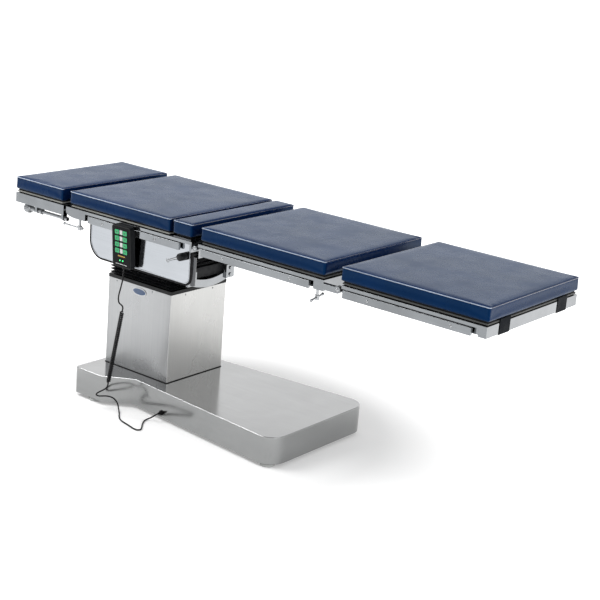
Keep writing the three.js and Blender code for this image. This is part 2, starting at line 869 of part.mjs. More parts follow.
function makeClampRod() {
  const knobEdge = (clampKnobEnd - clampKnobStart) / 4;
  const profile = [
    [0, clampKnobStart],
    [clampKnobRadius - knobEdge / 2, clampKnobStart],
    [clampKnobRadius, clampKnobStart + knobEdge],
    [clampKnobRadius, clampKnobEnd - knobEdge],
    [clampNeckRadius, clampKnobEnd],
    [clampNeckRadius, clampCollarStart],
    [clampCollarRadius, clampCollarStart],
    [clampCollarRadius, clampCollarEnd],
    [clampRodRadius, clampCollarEnd],
    [clampRodRadius, clampCapStart],
    [clampCapRadius, clampCapStart],
    [clampCapRadius, clampCapEnd],
    [0, clampCapEnd],
  ].map(([radius, along]) => new THREE.Vector2(radius, along));
  const rod = new THREE.LatheGeometry(profile, roundSides);
  rod.rotateZ(-Math.PI / 2).translate(0, -clampY, clampHeight);
  addPiece('head_clamp_rod', toGeometry(toSolid(rod)), 'chrome');
}

function curvedCorner() {
  const shape = new THREE.Shape();
  const start = headHingeX + backFrameClear - overrun;
  const right = start + overrun + backCurveLength;
  const top = beamBottom + backCurveHeight;
  shape.moveTo(start, top);
  shape.lineTo(start + overrun, top);
  shape.absellipse(right, top, backCurveLength, backCurveHeight, Math.PI, Math.PI * 1.5, false, 0);
  shape.lineTo(right, beamBottom - overrun);
  shape.lineTo(start, beamBottom - overrun);
  shape.closePath();
  return slabY(shape, [-frameHalfWidth - overrun, frameHalfWidth + overrun]);
}

function makeBackFrame() {
  const start = headHingeX + backFrameClear;
  const tray = sectionTray({
    start,
    end: backFrameEnd,
    beamStart: start,
    beamEnd: backFrameEnd,
    outer: backBeamOuter,
    blocks: [
      [start, backBlockEnd],
      [plateEnd + overrun, backFrameEnd],
    ],
    bars: [start + backCurveLength, backFrameEnd - crossbarWidth],
  });
  const shaped = cut(tray, curvedCorner());
  const lugs = [-1, 1].flatMap((side) => [
    hingeLug(headHingeX, start + backCurveLength, side, lugInner, lugInner + hingeLugThickness),
    hingeLug(seatHingeX, backFrameEnd - crossbarWidth, side, lugInner, lugInner + hingeLugThickness),
  ]);
  const guides = [-1, 1].map((side) =>
    block(
      [postX - postRadius - guideWall, shaftX + guideFootOverhang],
      across(side, postY - guideHalfWidth, postY + guideHalfWidth),
      [guideBottom, boardBottom + overrun],
    ),
  );
  const kidneyBores = [-1, 1].flatMap((side) => [
    rodZ(postRadius + postPlay, [guideBottom - overrun, boardTop + overrun], postX, side * postY),
    rodY(
      shaftRadius + postPlay,
      across(side, postY - guideHalfWidth - overrun, postY + guideHalfWidth + overrun),
      shaftX,
      shaftHeight,
    ),
    rodY(
      pinionPitchRadius + postPlay,
      across(side, postY - pinionHalfWidth - overrun, postY + pinionHalfWidth + overrun),
      shaftX,
      shaftHeight,
    ),
  ]);
  const frame = cut(
    join(shaped, ...lugs, ...guides),
    hingeBores(headHingeX),
    hingeBores(seatHingeX),
    ...kidneyBores,
  );
  addPiece('back_frame', frame, 'polishedSteel');
}

function makeSeatFrame() {
  const start = seatHingeX + seatFrameClear;
  const tray = sectionTray({
    start,
    end: seatPadEnd,
    beamStart: start,
    beamEnd: seatPadEnd,
    outer: beamOuter,
    blocks: [[seatBlockStart, seatPadEnd]],
    bars: [start, seatPadEnd - crossbarWidth],
  });
  const lugs = [-1, 1].flatMap((side) => [
    hingeLug(seatHingeX, start + crossbarWidth, side, childLugInner, childLugOuter),
    hingePin(seatHingeX, side, lugInner, frameHalfWidth),
    hingeLug(legHingeX, seatPadEnd - crossbarWidth, side, beamOuter + seatGap, frameHalfWidth, legLugRadius),
    rodY(hingeLugRadius, across(side, seatBossInner, frameHalfWidth), seatHingeX, hingeHeight),
  ]);
  const legBores = [-1, 1].map((side) =>
    rodY(
      hingePinRadius + hingePinPlay,
      across(side, beamOuter - overrun, frameHalfWidth + overrun),
      legHingeX,
      hingeHeight,
    ),
  );
  addPiece('seat_frame', cut(join(tray, ...lugs), ...legBores), 'polishedSteel');
}

function makeLegFrame() {
  const start = legHingeX + legFrameClear;
  const tray = sectionTray({
    start,
    end: legFrameEnd,
    beamStart: start + overrun,
    beamEnd: legFrameEnd,
    outer: beamOuter,
    blocks: [[legBlockStart, legFrameEnd]],
    bars: [start + legLugRoot, legFrameEnd - crossbarWidth],
  });
  const lugs = [-1, 1].flatMap((side) => [
    hingeLug(legHingeX, start + legLugRoot, side, beamOuter - beamWidth, beamOuter),
    hingePin(legHingeX, side, beamOuter - overrun, frameHalfWidth),
  ]);
  addPiece('leg_frame', join(tray, ...lugs), 'polishedSteel');
}

function makeRail(name, side, start, end, screwShares) {
  const pieces = [
    block([start, end], across(side, railInner, railOuter), [railTop - railHeight, railTop]),
  ];
  for (const share of screwShares) {
    const x = start + (end - start) * share;
    const z = railTop - railHeight / 2;
    pieces.push(rodY(railBossRadius, across(side, plateOuter + seatGap, railInner + overrun), x, z, smallSides));
    pieces.push(rodY(railScrewRadius, across(side, railOuter - overrun, railOuter + railScrewHeight), x, z, smallSides));
  }
  addPiece(name, join(...pieces), 'polishedSteel');
}

function makeRails() {
  for (const [side, word] of [[-1, 'near'], [1, 'far']]) {
    makeRail(`back_rail_${word}`, side, backRailStart, backRailEnd, backScrewShares);
    makeRail(`seat_rail_${word}`, side, seatRailStart, seatRailEnd, seatScrewShares);
    makeRail(`leg_rail_${word}`, side, legRailStart, legRailEnd, legScrewShares);
  }
}

function plateOutline(top) {
  const shape = new THREE.Shape();
  const headRadius = plateHeadRadius;
  const footRadius = plateFootRadius;
  shape.moveTo(plateEnd, top);
  shape.lineTo(plateStart, top);
  shape.absarc(plateStart + headRadius, plateBottom + headRadius, headRadius, Math.PI, Math.PI * 1.5, false);
  shape.absarc(plateEnd - footRadius, plateBottom + footRadius, footRadius, -Math.PI / 2, 0, false);
  shape.closePath();
  return shape;
}

function makeSidePlates() {
  const top = boardBottom - plateTopDrop;
  for (const [side, word] of [[-1, 'near'], [1, 'far']]) {
    const plate = slabY(plateOutline(top), across(side, plateOuter - plateThickness, plateOuter));
    const shaftHole = rodY(
      shaftRadius + postPlay,
      across(side, plateOuter - plateThickness - overrun, plateOuter + overrun),
      shaftX,
      shaftHeight,
    );
    addPiece(`side_plate_${word}`, side < 0 ? cut(plate, shaftHole) : plate, 'polishedSteel');
  }
}

const crankBossRadius = 13;
const crankBossLength = 29;
const crankArmInset = 5;
const crankArmLength = 56;
const crankArmRadius = 4.5;
const crankAngle = THREE.MathUtils.degToRad(203);
const crankTipRadius = 7;

function makeKidneyBridge() {
  const plate = block(
    [kidneyPadStart + frameOverhang, kidneyPadEnd - frameOverhang],
    [-frameHalfWidth + frameOverhang, frameHalfWidth - frameOverhang],
    [boardTop + seatGap, boardTop + seatGap + kidneyPlateThickness],
  );
  const postBottom = guideBottom - kidneyStroke - overrun;
  const posts = [-1, 1].map((side) =>
    rodZ(postRadius, [postBottom, boardTop + kidneyPlateThickness / 2], postX, side * postY),
  );
  addPiece('kidney_board', join(plate, ...posts), 'polishedSteel');

  const bossStart = plateOuter + seatGap;
  const bossEnd = bossStart + crankBossLength;
  const armY = -(bossEnd - crankArmInset);
  const tip = new THREE.Vector3(Math.cos(crankAngle), 0, Math.sin(crankAngle)).multiplyScalar(crankArmLength);
  const arm = new THREE.CylinderGeometry(crankArmRadius, crankArmRadius, crankArmLength, smallSides);
  arm.rotateX(Math.PI / 2).rotateY(Math.PI / 2 - crankAngle);
  arm.translate(shaftX + tip.x / 2, armY, shaftHeight + tip.z / 2);
  const ball = new THREE.SphereGeometry(crankTipRadius, smallSides, smallSides / 2);
  ball.translate(shaftX + tip.x, armY, shaftHeight + tip.z);
  const pinions = [-1, 1].map((side) =>
    rodY(
      pinionPitchRadius - seatGap,
      across(side, postY - pinionHalfWidth, postY + pinionHalfWidth),
      shaftX,
      shaftHeight,
    ),
  );
  const crank = join(
    rodY(shaftRadius, [-bossEnd + overrun, postY + guideHalfWidth], shaftX, shaftHeight),
    rodY(crankBossRadius, [-bossEnd, -bossStart], shaftX, shaftHeight),
    arm,
    ball,
    ...pinions,
  );
  addPiece('kidney_crank', crank, 'chrome');
}

// Clamp screws with a sliding T bar, two at the back section and two at the seat end
const screwRadius = 5;
const screwInset = 8;
const screwY = frameHalfWidth - screwInset;
const hubRadius = 8;
const hubHeight = 16;
const barRadius = 3.5;
const barBallRadius = 5.5;
const backScrewInset = 32;
const backScrewX = backBlockEnd - backScrewInset;
const backScrewLength = 30;
const backBarLength = 88;
const backBarSlide = 32;
const seatScrewLag = 12;
const seatScrewX = seatBlockStart + seatScrewLag;
const seatScrewLength = 25;
const seatBarLength = 84;
const seatBarTurn = 14;

function makeTHandle(name, x, side, length, barLength, slide, turn) {
  const hubCentre = -length;
  const bar = rodX(barRadius, [-barLength / 2, barLength / 2], 0, hubCentre, smallSides);
  const balls = [-1, 1].map((end) => {
    const ball = new THREE.SphereGeometry(barBallRadius, smallSides, smallSides / 2);
    return ball.rotateZ(Math.PI / 2).translate((end * barLength) / 2, 0, hubCentre);
  });
  const cross = [bar, ...balls].map((piece) => piece.translate(-slide, 0, 0));
  const handle = join(
    rodZ(screwRadius, [hubCentre, 0], 0, 0, smallSides),
    rodZ(hubRadius, [hubCentre - hubHeight / 2, hubCentre + hubHeight / 2], 0, 0, smallSides),
    ...cross,
  );
  const piece = addPiece(name, handle, 'chrome');
  piece.position.set(x, side * screwY, beamBottom - seatGap);
  piece.rotation.z = turn;
}

function makeTHandles() {
  for (const [side, word] of [[-1, 'near'], [1, 'far']]) {
    makeTHandle(`back_t_handle_${word}`, backScrewX, side, backScrewLength, backBarLength, backBarSlide, 0);
    const turn = Math.PI / 2 - side * THREE.MathUtils.degToRad(seatBarTurn);
    makeTHandle(`seat_t_handle_${word}`, seatScrewX, side, seatScrewLength, seatBarLength, 0, turn);
  }
}

// Black webbing that holds the leg cushion down on its frame
const strapInset = 124;
const strapInner = frameHalfWidth - strapInset;
const strapWidth = 57;
const strapThickness = 1.7;
const strapUnder = 34;
const strapHeadroom = 1;

function makeStraps() {
  const back = legFrameEnd + seatGap;
  const front = back + strapThickness;
  const low = beamBottom - seatGap - strapThickness;
  const top = padTopHeight - padThickness - strapHeadroom;
  const shape = new THREE.Shape();
  shape.moveTo(front - strapUnder, low);
  shape.lineTo(front, low);
  shape.lineTo(front, top);
  shape.lineTo(back, top);
  shape.lineTo(back, low + strapThickness);
  shape.lineTo(front - strapUnder, low + strapThickness);
  shape.closePath();
  for (const [side, word] of [[-1, 'near'], [1, 'far']]) {
    addPiece(`leg_strap_${word}`, slabY(shape, across(side, strapInner, strapInner + strapWidth)), 'blackRubber');
  }
}

// Cushions: a board below, then sides that draw in between the corners and a crowned top
const padCorner = 10;
const padSideDraw = 1.5;
const padCrown = 3;
const padBoardInset = 6;
const cornerSteps = 3;
const edgeSteps = 5;
const padSeat = 0.3;
const padEdge = 3;
const padSideShares = [
  { height: 0, inset: 1 },
  { height: 0.12, inset: 0.27 },
  { height: 0.5, inset: 0 },
  { height: 0.86, inset: 0.13 },
  { height: 0.965, inset: 0.8 },
];
const padCrownShares = [
  { inset: 0.05, rise: 0.2 },
  { inset: 0.25, rise: 0.65 },
  { inset: 0.6, rise: 0.95 },
];

function padRing(start, end, inset, z, draw) {
  const centreX = (start + end) / 2;
  const halfLength = (end - start) / 2 - inset;
  const halfWidth = tableWidth / 2 - inset;
  const corner = Math.min(padCorner, halfLength / 2);
  const turns = [
    [1, -1, -Math.PI / 2],
    [1, 1, 0],
    [-1, 1, Math.PI / 2],
    [-1, -1, Math.PI],
  ];
  const ring = [];
  turns.forEach(([sx, sy, angle], index) => {
    const middle = new THREE.Vector2(centreX + sx * (halfLength - corner), sy * (halfWidth - corner));
    for (let step = 0; step <= cornerSteps; step += 1) {
      const at = angle + (step / cornerSteps) * (Math.PI / 2);
      ring.push(new THREE.Vector3(middle.x + corner * Math.cos(at), middle.y + corner * Math.sin(at), z));
    }
    const [nx, ny] = turns[(index + 1) % turns.length];
    const last = ring[ring.length - 1];
    const endAngle = angle + Math.PI / 2;
    const nextPoint = new THREE.Vector2(
      centreX + nx * (halfLength - corner) + corner * Math.cos(endAngle),
      ny * (halfWidth - corner) + corner * Math.sin(endAngle),
    );
    for (let step = 1; step < edgeSteps; step += 1) {
      const t = step / edgeSteps;
      const pull = draw * Math.sin(Math.PI * t);
      const x = last.x + (nextPoint.x - last.x) * t - pull * Math.cos(endAngle);
      const y = last.y + (nextPoint.y - last.y) * t - pull * Math.sin(endAngle);
      ring.push(new THREE.Vector3(x, y, z));
    }
  });
  return ring;
}

function makePad(name, start, end, boardSeat) {
  const bottom = padTopHeight - padThickness;
  const shoulder = padThickness - padCrown;
  const rings = [
    padRing(start, end, padBoardInset, boardSeat, 0),
    padRing(start, end, padBoardInset, bottom, 0),
  ];
  for (const { height, inset } of padSideShares) {
    const draw = padSideDraw * Math.sin(Math.PI * height);
    rings.push(padRing(start, end, padEdge * inset, bottom + shoulder * height, draw));
  }
  const inner = Math.min(end - start, tableWidth) / 2 - padCorner;
  for (const { inset, rise } of padCrownShares) {
    rings.push(padRing(start, end, padBoardInset + inner * inset, bottom + shoulder + padCrown * rise, 0));
  }
  addPiece(name, stitchRings(rings, false), 'navyVinyl');
}

function makePads() {
  const onBoard = boardTop + padSeat;
  makePad('head_pad', 0, headPadEnd, onBoard);
  makePad('back_pad', backPadStart, backPadEnd, onBoard);
  makePad('kidney_pad', kidneyPadStart, kidneyPadEnd, onBoard + kidneyPlateThickness + seatGap);
  makePad('seat_pad', seatPadStart, seatPadEnd, onBoard);
  makePad('leg_pad', legPadStart, tableLength, onBoard);
}

// Handset: hooked over the accessory rail, it leans on the lower edge of the rail
const handsetLag = 44;
const handsetX = columnX + handsetLag;
const handsetWidth = 84;
const handsetLength = 143;
const handsetDepth = 22;
const handsetDrop = 133;
const handsetBottom = railTop - handsetDrop;
const handsetCorner = 6;
const handsetLean = THREE.MathUtils.degToRad(4.5);
const handsetBackY = railOuter + seatGap - Math.tan(handsetLean) * (railTop - railHeight - handsetBottom);
const keyWidth = 17;
const keyHeight = 15;
const keyDepth = 5;
const keyProud = 1.5;
const keyTravel = 1.2;
const keyPlay = 0.35;
const keyColumn = 20.5;
const keyFirstRow = 57;
const keyRowPitch = 21.5;
const keyNames = ['seat', 'tilt', 'pitch', 'height'];
const hookWidth = 30;
const hookThickness = 2.6;
const hookLipThickness = 3;
const hookLipHeight = 9;

function placeHandset(geometry) {
  geometry.rotateX(handsetLean);
  return geometry.translate(handsetX, -handsetBackY, handsetBottom);
}

function makeHandset() {
  const halfWidth = handsetWidth / 2;
  const shape = new THREE.Shape();
  const r = handsetCorner;
  shape.moveTo(-halfWidth + r, 0);
  shape.absarc(halfWidth - r, r, r, -Math.PI / 2, 0, false);
  shape.absarc(halfWidth - r, handsetLength - r, r, 0, Math.PI / 2, false);
  shape.absarc(-halfWidth + r, handsetLength - r, r, Math.PI / 2, Math.PI, false);
  shape.absarc(-halfWidth + r, r, r, Math.PI, Math.PI * 1.5, false);
  const body = placeHandset(slabY(shape, [-handsetDepth, 0], 3));
  const keys = [];
  keyNames.forEach((keyName, row) => {
    for (const [side, word] of [[-1, 'left'], [1, 'right']]) {
      keys.push({ name: `key_${keyName}_${word}`, x: side * keyColumn, z: keyFirstRow + row * keyRowPitch });
    }
  });
  const pockets = keys.map(({ x, z }) =>
    placeHandset(
      block(
        [x - keyWidth / 2, x + keyWidth / 2],
        [-handsetDepth - overrun, -handsetDepth + keyDepth],
        [z - keyHeight / 2, z + keyHeight / 2],
      ),
    ),
  );
  const hookBottom = railTop + seatGap;
  const hookEnd = railInner - 2 * seatGap;
  const hook = block(
    [handsetX - hookWidth / 2, handsetX + hookWidth / 2],
    [-railOuter - hookLipHeight, -hookEnd + hookLipThickness],
    [hookBottom, hookBottom + hookThickness],
  );
  const lip = block(
    [handsetX - hookWidth / 2, handsetX + hookWidth / 2],
    [-hookEnd, -hookEnd + hookLipThickness],
    [hookBottom + hookThickness - hookLipHeight, hookBottom + hookThickness],
  );
  addPiece('handset_body', cut(join(body, hook, lip), ...pockets), 'blackPlastic');
  for (const { name, x, z } of keys) {
    const key = block(
      [x - keyWidth / 2 + keyPlay, x + keyWidth / 2 - keyPlay],
      [-handsetDepth - keyProud, -handsetDepth + keyDepth - keyTravel - seatGap],
      [z - keyHeight / 2 + keyPlay, z + keyHeight / 2 - keyPlay],
    );
    addPiece(name, placeHandset(key), 'greenKey');
  }
}

function makeGrommet() {
  const tailStart = grommetFaceY - grommetFlangeThickness;
  const grommet = join(
    rodY(grommetNeckRadius, [grommetFaceY - overrun, -grommetSkirt + grommetReach], grommetX, grommetHeight, smallSides),
    rodY(grommetFlangeRadius, [tailStart, grommetFaceY], grommetX, grommetHeight, smallSides),
    rodY(grommetTailRadius, [tailStart - grommetTailLength, tailStart], grommetX, grommetHeight, smallSides),
  );
  addPiece('cord_grommet', grommet, 'blackRubber');
}

// Handset cord: a thin lead, a curly stretch and a thin lead along the floor into the grommet
const cordDiameter = 5;
const cordSides = 8;
const cordRest = 2.8;
const curlOuterDiameter = 15.5;
const curlCount = 38;
const curlSteps = 8;
const curlSides = 5;
const curlStart = new THREE.Vector3(570.4, -280, 374);
const curlEnd = new THREE.Vector3(517, -280, 97);
const upperLeadPoints = [
  [553, -264.9, 517.7],
  [553.4, -264.4, 508],
  [554.8, -267.5, 490],
  [556.4, -272.5, 470],
  [556, -277, 452],
  [553, -279.5, 434],
  [550.5, -281, 418],
  [550.5, -281, 405.5],
  [554.5, -281, 396],
  [562.5, -280.5, 392],
  [569, -280.2, 388],
  [571.6, -280, 381],
  [570.5, -280, 374.6],
];
const floorLeadPoints = [
  [516.9, -280, 96.4],
  [515.5, -280, 89.5],
  [510, -281.5, 79],
  [499, -285, 69.5],
  [486, -288.5, 60.5],
  [475.5, -290.5, 52],
  [471.5, -288, 44.5],
  [476, -281, 40.5],
  [487, -274.5, 42],
  [501, -269, 44.5],
  [516, -265.5, 45.5],
  [530, -263, 43],
  [541, -260.5, 35],
  [547.5, -259, 24],
  [552, -259.5, 12.5],
  [560, -264.5, 5],
  [573, -276, 2.8],
  [590, -293, 2.8],
  [609, -308, 2.8],
  [632, -318, 2.8],
  [655, -323, 2.8],
  [680, -329, 2.8],
  [700, -334, 2.8],
  [715, -333, 2.8],
  [721, -323.5, 2.8],
  [714, -311, 2.8],
  [700, -294, 2.8],
  [685, -275, 2.8],
  [674, -256, 2.8],
  [673, -240, 4.5],
  [680, -229.5, 10],
];
const upperLeadSteps = 16;
const floorLeadSteps = 52;

function leadTube(points, steps) {
  const curve = new THREE.CatmullRomCurve3(points.map((point) => new THREE.Vector3(...point)), false, 'centripetal');
  const circle = new THREE.Shape();
  for (let i = 0; i < cordSides; i += 1) {
    const angle = (i / cordSides) * Math.PI * 2;
    const [x, y] = [(Math.cos(angle) * cordDiameter) / 2, (Math.sin(angle) * cordDiameter) / 2];
    if (i === 0) {
      circle.moveTo(x, y);
    } else {
      circle.lineTo(x, y);
    }
  }
  circle.closePath();
  console.log(`lead ${curve.getLength().toFixed(0)} mm`);
  return new THREE.ExtrudeGeometry(circle, { steps, extrudePath: curve, bevelEnabled: false });
}

// The curl winds round the line from its start to its end, and runs straight along it at both ends
function curlPath() {
  const axis = curlEnd.clone().sub(curlStart);
  const length = axis.length();
  axis.normalize();
  const sideways = new THREE.Vector3(0, 1, 0);
  const outward = new THREE.Vector3().crossVectors(axis, sideways).normalize();
  const radius = (curlOuterDiameter - cordDiameter) / 2;
  const straight = cordDiameter;
  const wound = length - 2 * straight;
  const steps = curlCount * curlSteps;
  const rise = curlSteps / 2;
  const path = [{ at: curlStart.clone(), angle: 0 }];
  for (let i = 0; i <= steps; i += 1) {
    const angle = (i / curlSteps) * Math.PI * 2;
    const swell = Math.min(1, i / rise, (steps - i) / rise);
    const along = straight + (wound * i) / steps;
    const at = curlStart.clone().addScaledVector(axis, along);
    at.addScaledVector(outward, radius * swell * Math.cos(angle));
    at.addScaledVector(sideways, radius * swell * Math.sin(angle));
    path.push({ at, angle });
  }
  path.push({ at: curlEnd.clone(), angle: curlCount * Math.PI * 2 });
  return { path, outward, sideways };
}

function makeCurl() {
  const { path, outward, sideways } = curlPath();
  const rings = path.map(({ at, angle }, index) => {
    const before = path[Math.max(0, index - 1)].at;
    const after = path[Math.min(path.length - 1, index + 1)].at;
    const tangent = after.clone().sub(before).normalize();
    const radial = outward.clone().multiplyScalar(Math.cos(angle)).addScaledVector(sideways, Math.sin(angle));
    radial.addScaledVector(tangent, -radial.dot(tangent)).normalize();
    const binormal = new THREE.Vector3().crossVectors(tangent, radial);
    const ring = [];
    for (let i = 0; i < curlSides; i += 1) {
      const turn = (i / curlSides) * Math.PI * 2;
      const spoke = radial.clone().multiplyScalar(Math.cos(turn)).addScaledVector(binormal, Math.sin(turn));
      ring.push(at.clone().addScaledVector(spoke, cordDiameter / 2));
    }
    return ring;
  });
  let least = Infinity;
  for (let i = 0; i < path.length; i += 1) {
    for (let j = i + curlSteps / 2 + 1; j < Math.min(path.length, i + 3 * curlSteps); j += 1) {
      least = Math.min(least, path[i].at.distanceTo(path[j].at) - cordDiameter);
    }
  }
  console.log(`curl least gap to itself ${least.toFixed(2)} mm`);
  addPiece('cord_curl', stitchRings(rings, false), 'blackRubber');
}

function makeCord() {
  const floorEnd = [grommetX, grommetFaceY - grommetFlangeThickness - grommetTailLength - seatGap, grommetHeight];
  const approach = [grommetX, floorEnd[1] - cordDiameter, grommetHeight];
  addPiece('cord_upper', leadTube(upperLeadPoints, upperLeadSteps), 'blackRubber');
  makeCurl();
  addPiece('cord_floor', leadTube([...floorLeadPoints, approach, floorEnd], floorLeadSteps), 'blackRubber');
}

makeBase();
makeChassis();
makeElectrics();
makeColumn();
makeMasts();
makeBoots();
makeSaddle();
makeYoke();
makeTiltHead();
makeHeadSection();
makeClampRod();
makeBackFrame();
makeSeatFrame();
makeLegFrame();
makeRails();
makeSidePlates();
makeKidneyBridge();
makeTHandles();
makeStraps();
makePads();
makeHandset();
makeGrommet();
makeCord();

// The origin is on the floor under the middle of the tabletop
table.position.x = -tableLength / 2;

export default table;
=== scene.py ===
import math

import bmesh
import bpy
import numpy as np
from mathutils import Matrix, Vector
from mathutils.bvhtree import BVHTree


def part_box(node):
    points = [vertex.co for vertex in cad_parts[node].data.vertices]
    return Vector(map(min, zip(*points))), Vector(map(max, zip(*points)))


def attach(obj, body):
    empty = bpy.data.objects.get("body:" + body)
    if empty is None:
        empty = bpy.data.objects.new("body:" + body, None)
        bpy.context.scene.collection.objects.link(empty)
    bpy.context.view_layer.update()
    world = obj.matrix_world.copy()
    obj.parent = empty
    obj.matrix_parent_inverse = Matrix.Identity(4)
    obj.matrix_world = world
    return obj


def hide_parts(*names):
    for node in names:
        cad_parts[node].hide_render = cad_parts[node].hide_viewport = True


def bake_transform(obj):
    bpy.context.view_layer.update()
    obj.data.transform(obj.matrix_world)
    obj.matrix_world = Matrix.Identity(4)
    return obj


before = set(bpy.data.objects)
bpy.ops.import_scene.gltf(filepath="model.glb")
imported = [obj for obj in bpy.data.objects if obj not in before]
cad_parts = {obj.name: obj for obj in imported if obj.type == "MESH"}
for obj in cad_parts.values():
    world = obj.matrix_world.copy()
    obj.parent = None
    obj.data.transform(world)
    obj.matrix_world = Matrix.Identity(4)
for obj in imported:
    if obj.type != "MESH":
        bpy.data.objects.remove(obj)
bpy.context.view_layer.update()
print("frame loaded")

# Lengths are written in millimetres. Along the table they count from the head end of the cushions.
mm = 0.001
tableMiddle = 971
sides = {-1: "near", 1: "far"}


def at(x, y, z):
    return Vector(((x - tableMiddle) * mm, y * mm, z * mm))


def onPlan(plan):
    return [((x - tableMiddle) * mm, y * mm) for x, y in plan]


def fullTurn(count):
    return [2 * math.pi * i / count for i in range(count)]


def linked(name, data):
    made = bpy.data.objects.new(name, data)
    bpy.context.scene.collection.objects.link(made)
    return made


# Camera of the photograph
photoCamera = {
    "azimuth": 37.148, "elevation": 16.463, "roll": 4.7, "lens": 83.183, "sensor": 36, "reach": 100,
    "place": (3709.2, -3448.1, 1766.5),
}


def makeCamera(spec):
    azimuth, elevation, roll = (math.radians(spec[key]) for key in ("azimuth", "elevation", "roll"))
    flat = math.cos(elevation)
    back = Vector((math.sin(azimuth) * flat, -math.cos(azimuth) * flat, math.sin(elevation)))
    level = Vector((0, 0, 1)).cross(back).normalized()
    up = back.cross(level)
    right = level * math.cos(roll) + up * math.sin(roll)
    top = up * math.cos(roll) - level * math.sin(roll)
    data = bpy.data.cameras.new("photoCamera")
    data.lens = spec["lens"]
    data.sensor_width = spec["sensor"]
    data.clip_end = spec["reach"]
    camera = linked("photoCamera", data)
    camera.matrix_world = Matrix.Translation(at(*spec["place"])) @ Matrix((right, top, back)).transposed().to_4x4()
    bpy.context.scene.camera = camera


makeCamera(photoCamera)
print("camera placed")


# Shapes are pairs of points and faces, in metres, before they become meshes
def moved(shape, matrix):
    points, faces = shape
    return [matrix @ Vector(point) for point in points], faces


def together(*shapes):
    points, faces = [], []
    for shapePoints, shapeFaces in shapes:
        start = len(points)
        points += [Vector(point) for point in shapePoints]
        faces += [[start + index for index in face] for face in shapeFaces]
    return points, faces


def stitched(rings, closed=False):
    count = len(rings[0])
    points = [point for ring in rings for point in ring]
    faces = []
    for level in range(len(rings) if closed else len(rings) - 1):
        low, high = level * count, ((level + 1) % len(rings)) * count
        for i in range(count):
            j = (i + 1) % count
            faces.append([low + i, low + j, high + j, high + i])
    if not closed:
        faces.append(list(range(count))[::-1])
        faces.append([(len(rings) - 1) * count + i for i in range(count)])
    return points, faces


def ringAlong(middle, sideways, upward, radius, sides):
    return [middle + sideways * (radius * math.cos(t)) + upward * (radius * math.sin(t)) for t in fullTurn(sides)]


def turned(profile, start, direction, sides=36, unit=mm):
    thinnest = 0.00002
    axis = Vector(direction).normalized()
    sideways = axis.orthogonal().normalized()
    upward = axis.cross(sideways)
    rings = []
    for radius, along in profile:
        middle = start + axis * (along * unit)
        rings.append(ringAlong(middle, sideways, upward, max(radius * unit, thinnest), sides))
    return stitched(rings)


def swept(path, radius, sides=12):
    tangents = []
    for i in range(len(path)):
        tangents.append((path[min(i + 1, len(path) - 1)] - path[max(i - 1, 0)]).normalized())
    sideways = tangents[0].orthogonal().normalized()
    rings = []
    for point, tangent in zip(path, tangents):
        sideways = (sideways - tangent * sideways.dot(tangent)).normalized()
        rings.append(ringAlong(point, sideways, tangent.cross(sideways), radius, sides))
    return stitched(rings)


def bevelled(shape, edges, width, segments, clamp=False):
    bmesh.ops.bevel(
        shape, geom=edges, offset=width, segments=segments, affect="EDGES", profile=0.5, clamp_overlap=clamp
    )


def unpacked(shape):
    shape.verts.index_update()
    result = [vertex.co.copy() for vertex in shape.verts], [[v.index for v in face.verts] for face in shape.faces]
    shape.free()
    return result


def slab(low, high, bevel, segments=2):
    shape = bmesh.new()
    bmesh.ops.create_cube(shape, size=1)
    for vertex in shape.verts:
        for axis in range(3):
            vertex.co[axis] = low[axis] if vertex.co[axis] < 0 else high[axis]
    bevelled(shape, shape.edges[:], bevel, segments)
    return unpacked(shape)


def prism(outline, low, high, axis="Y", bevel=0.0, segments=2):
    shape = bmesh.new()
    rings = []
    for level in (low, high):
        rings.append([shape.verts.new((a, b, level) if axis == "Z" else (a, level, b)) for a, b in outline])
    caps = [shape.faces.new(ring) for ring in rings]
    for i in range(len(outline)):
        j = (i + 1) % len(outline)
        shape.faces.new([rings[0][i], rings[0][j], rings[1][j], rings[1][i]])
    if bevel:
        bevelled(shape, [edge for cap in caps for edge in cap.edges], bevel, segments)
    bmesh.ops.recalc_face_normals(shape, faces=shape.faces[:])
    return unpacked(shape)


def arc(middleX, middleY, radius, start, end, steps):
    turns = [math.radians(start + (end - start) * i / steps) for i in range(steps + 1)]
    return [(middleX + radius * math.cos(t), middleY + radius * math.sin(t)) for t in turns]


# Meshes and objects made from shapes
def meshFrom(name, points, edges=(), faces=()):
    mesh = bpy.data.meshes.new(name)
    mesh.from_pydata([tuple(point) for point in points], edges, faces)
    return mesh


def facedOut(mesh, mergeWithin=0.0):
    work = bmesh.new()
    work.from_mesh(mesh)
    if mergeWithin:
        bmesh.ops.remove_doubles(work, verts=work.verts[:], dist=mergeWithin)
    bmesh.ops.recalc_face_normals(work, faces=work.faces[:])
    work.to_mesh(mesh)
    work.free()


def smoothed(mesh, sharpAngle=32):
    mesh.polygons.foreach_set("use_smooth", [True] * len(mesh.polygons))
    mesh.set_sharp_from_angle(angle=math.radians(sharpAngle))


def painted(mesh, material):
    mesh.materials.clear()
    mesh.materials.append(material)


def finished(piece):
    bpy.context.view_layer.update()
    mesh = bpy.data.meshes.new_from_object(piece.evaluated_get(bpy.context.evaluated_depsgraph_get()))
    piece.modifiers.clear()
    old = piece.data
    piece.data = mesh
    bpy.data.meshes.remove(old)
    return mesh


def flattened(piece):
    weighted = piece.modifiers.new("flatFaces", "WEIGHTED_NORMAL")
    weighted.keep_sharp = True
    weighted.weight = 80
    finished(piece)


def carried(piece, body, slot, *nodes):
    if body:
        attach(piece, body)
    if nodes:
        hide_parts(*nodes)


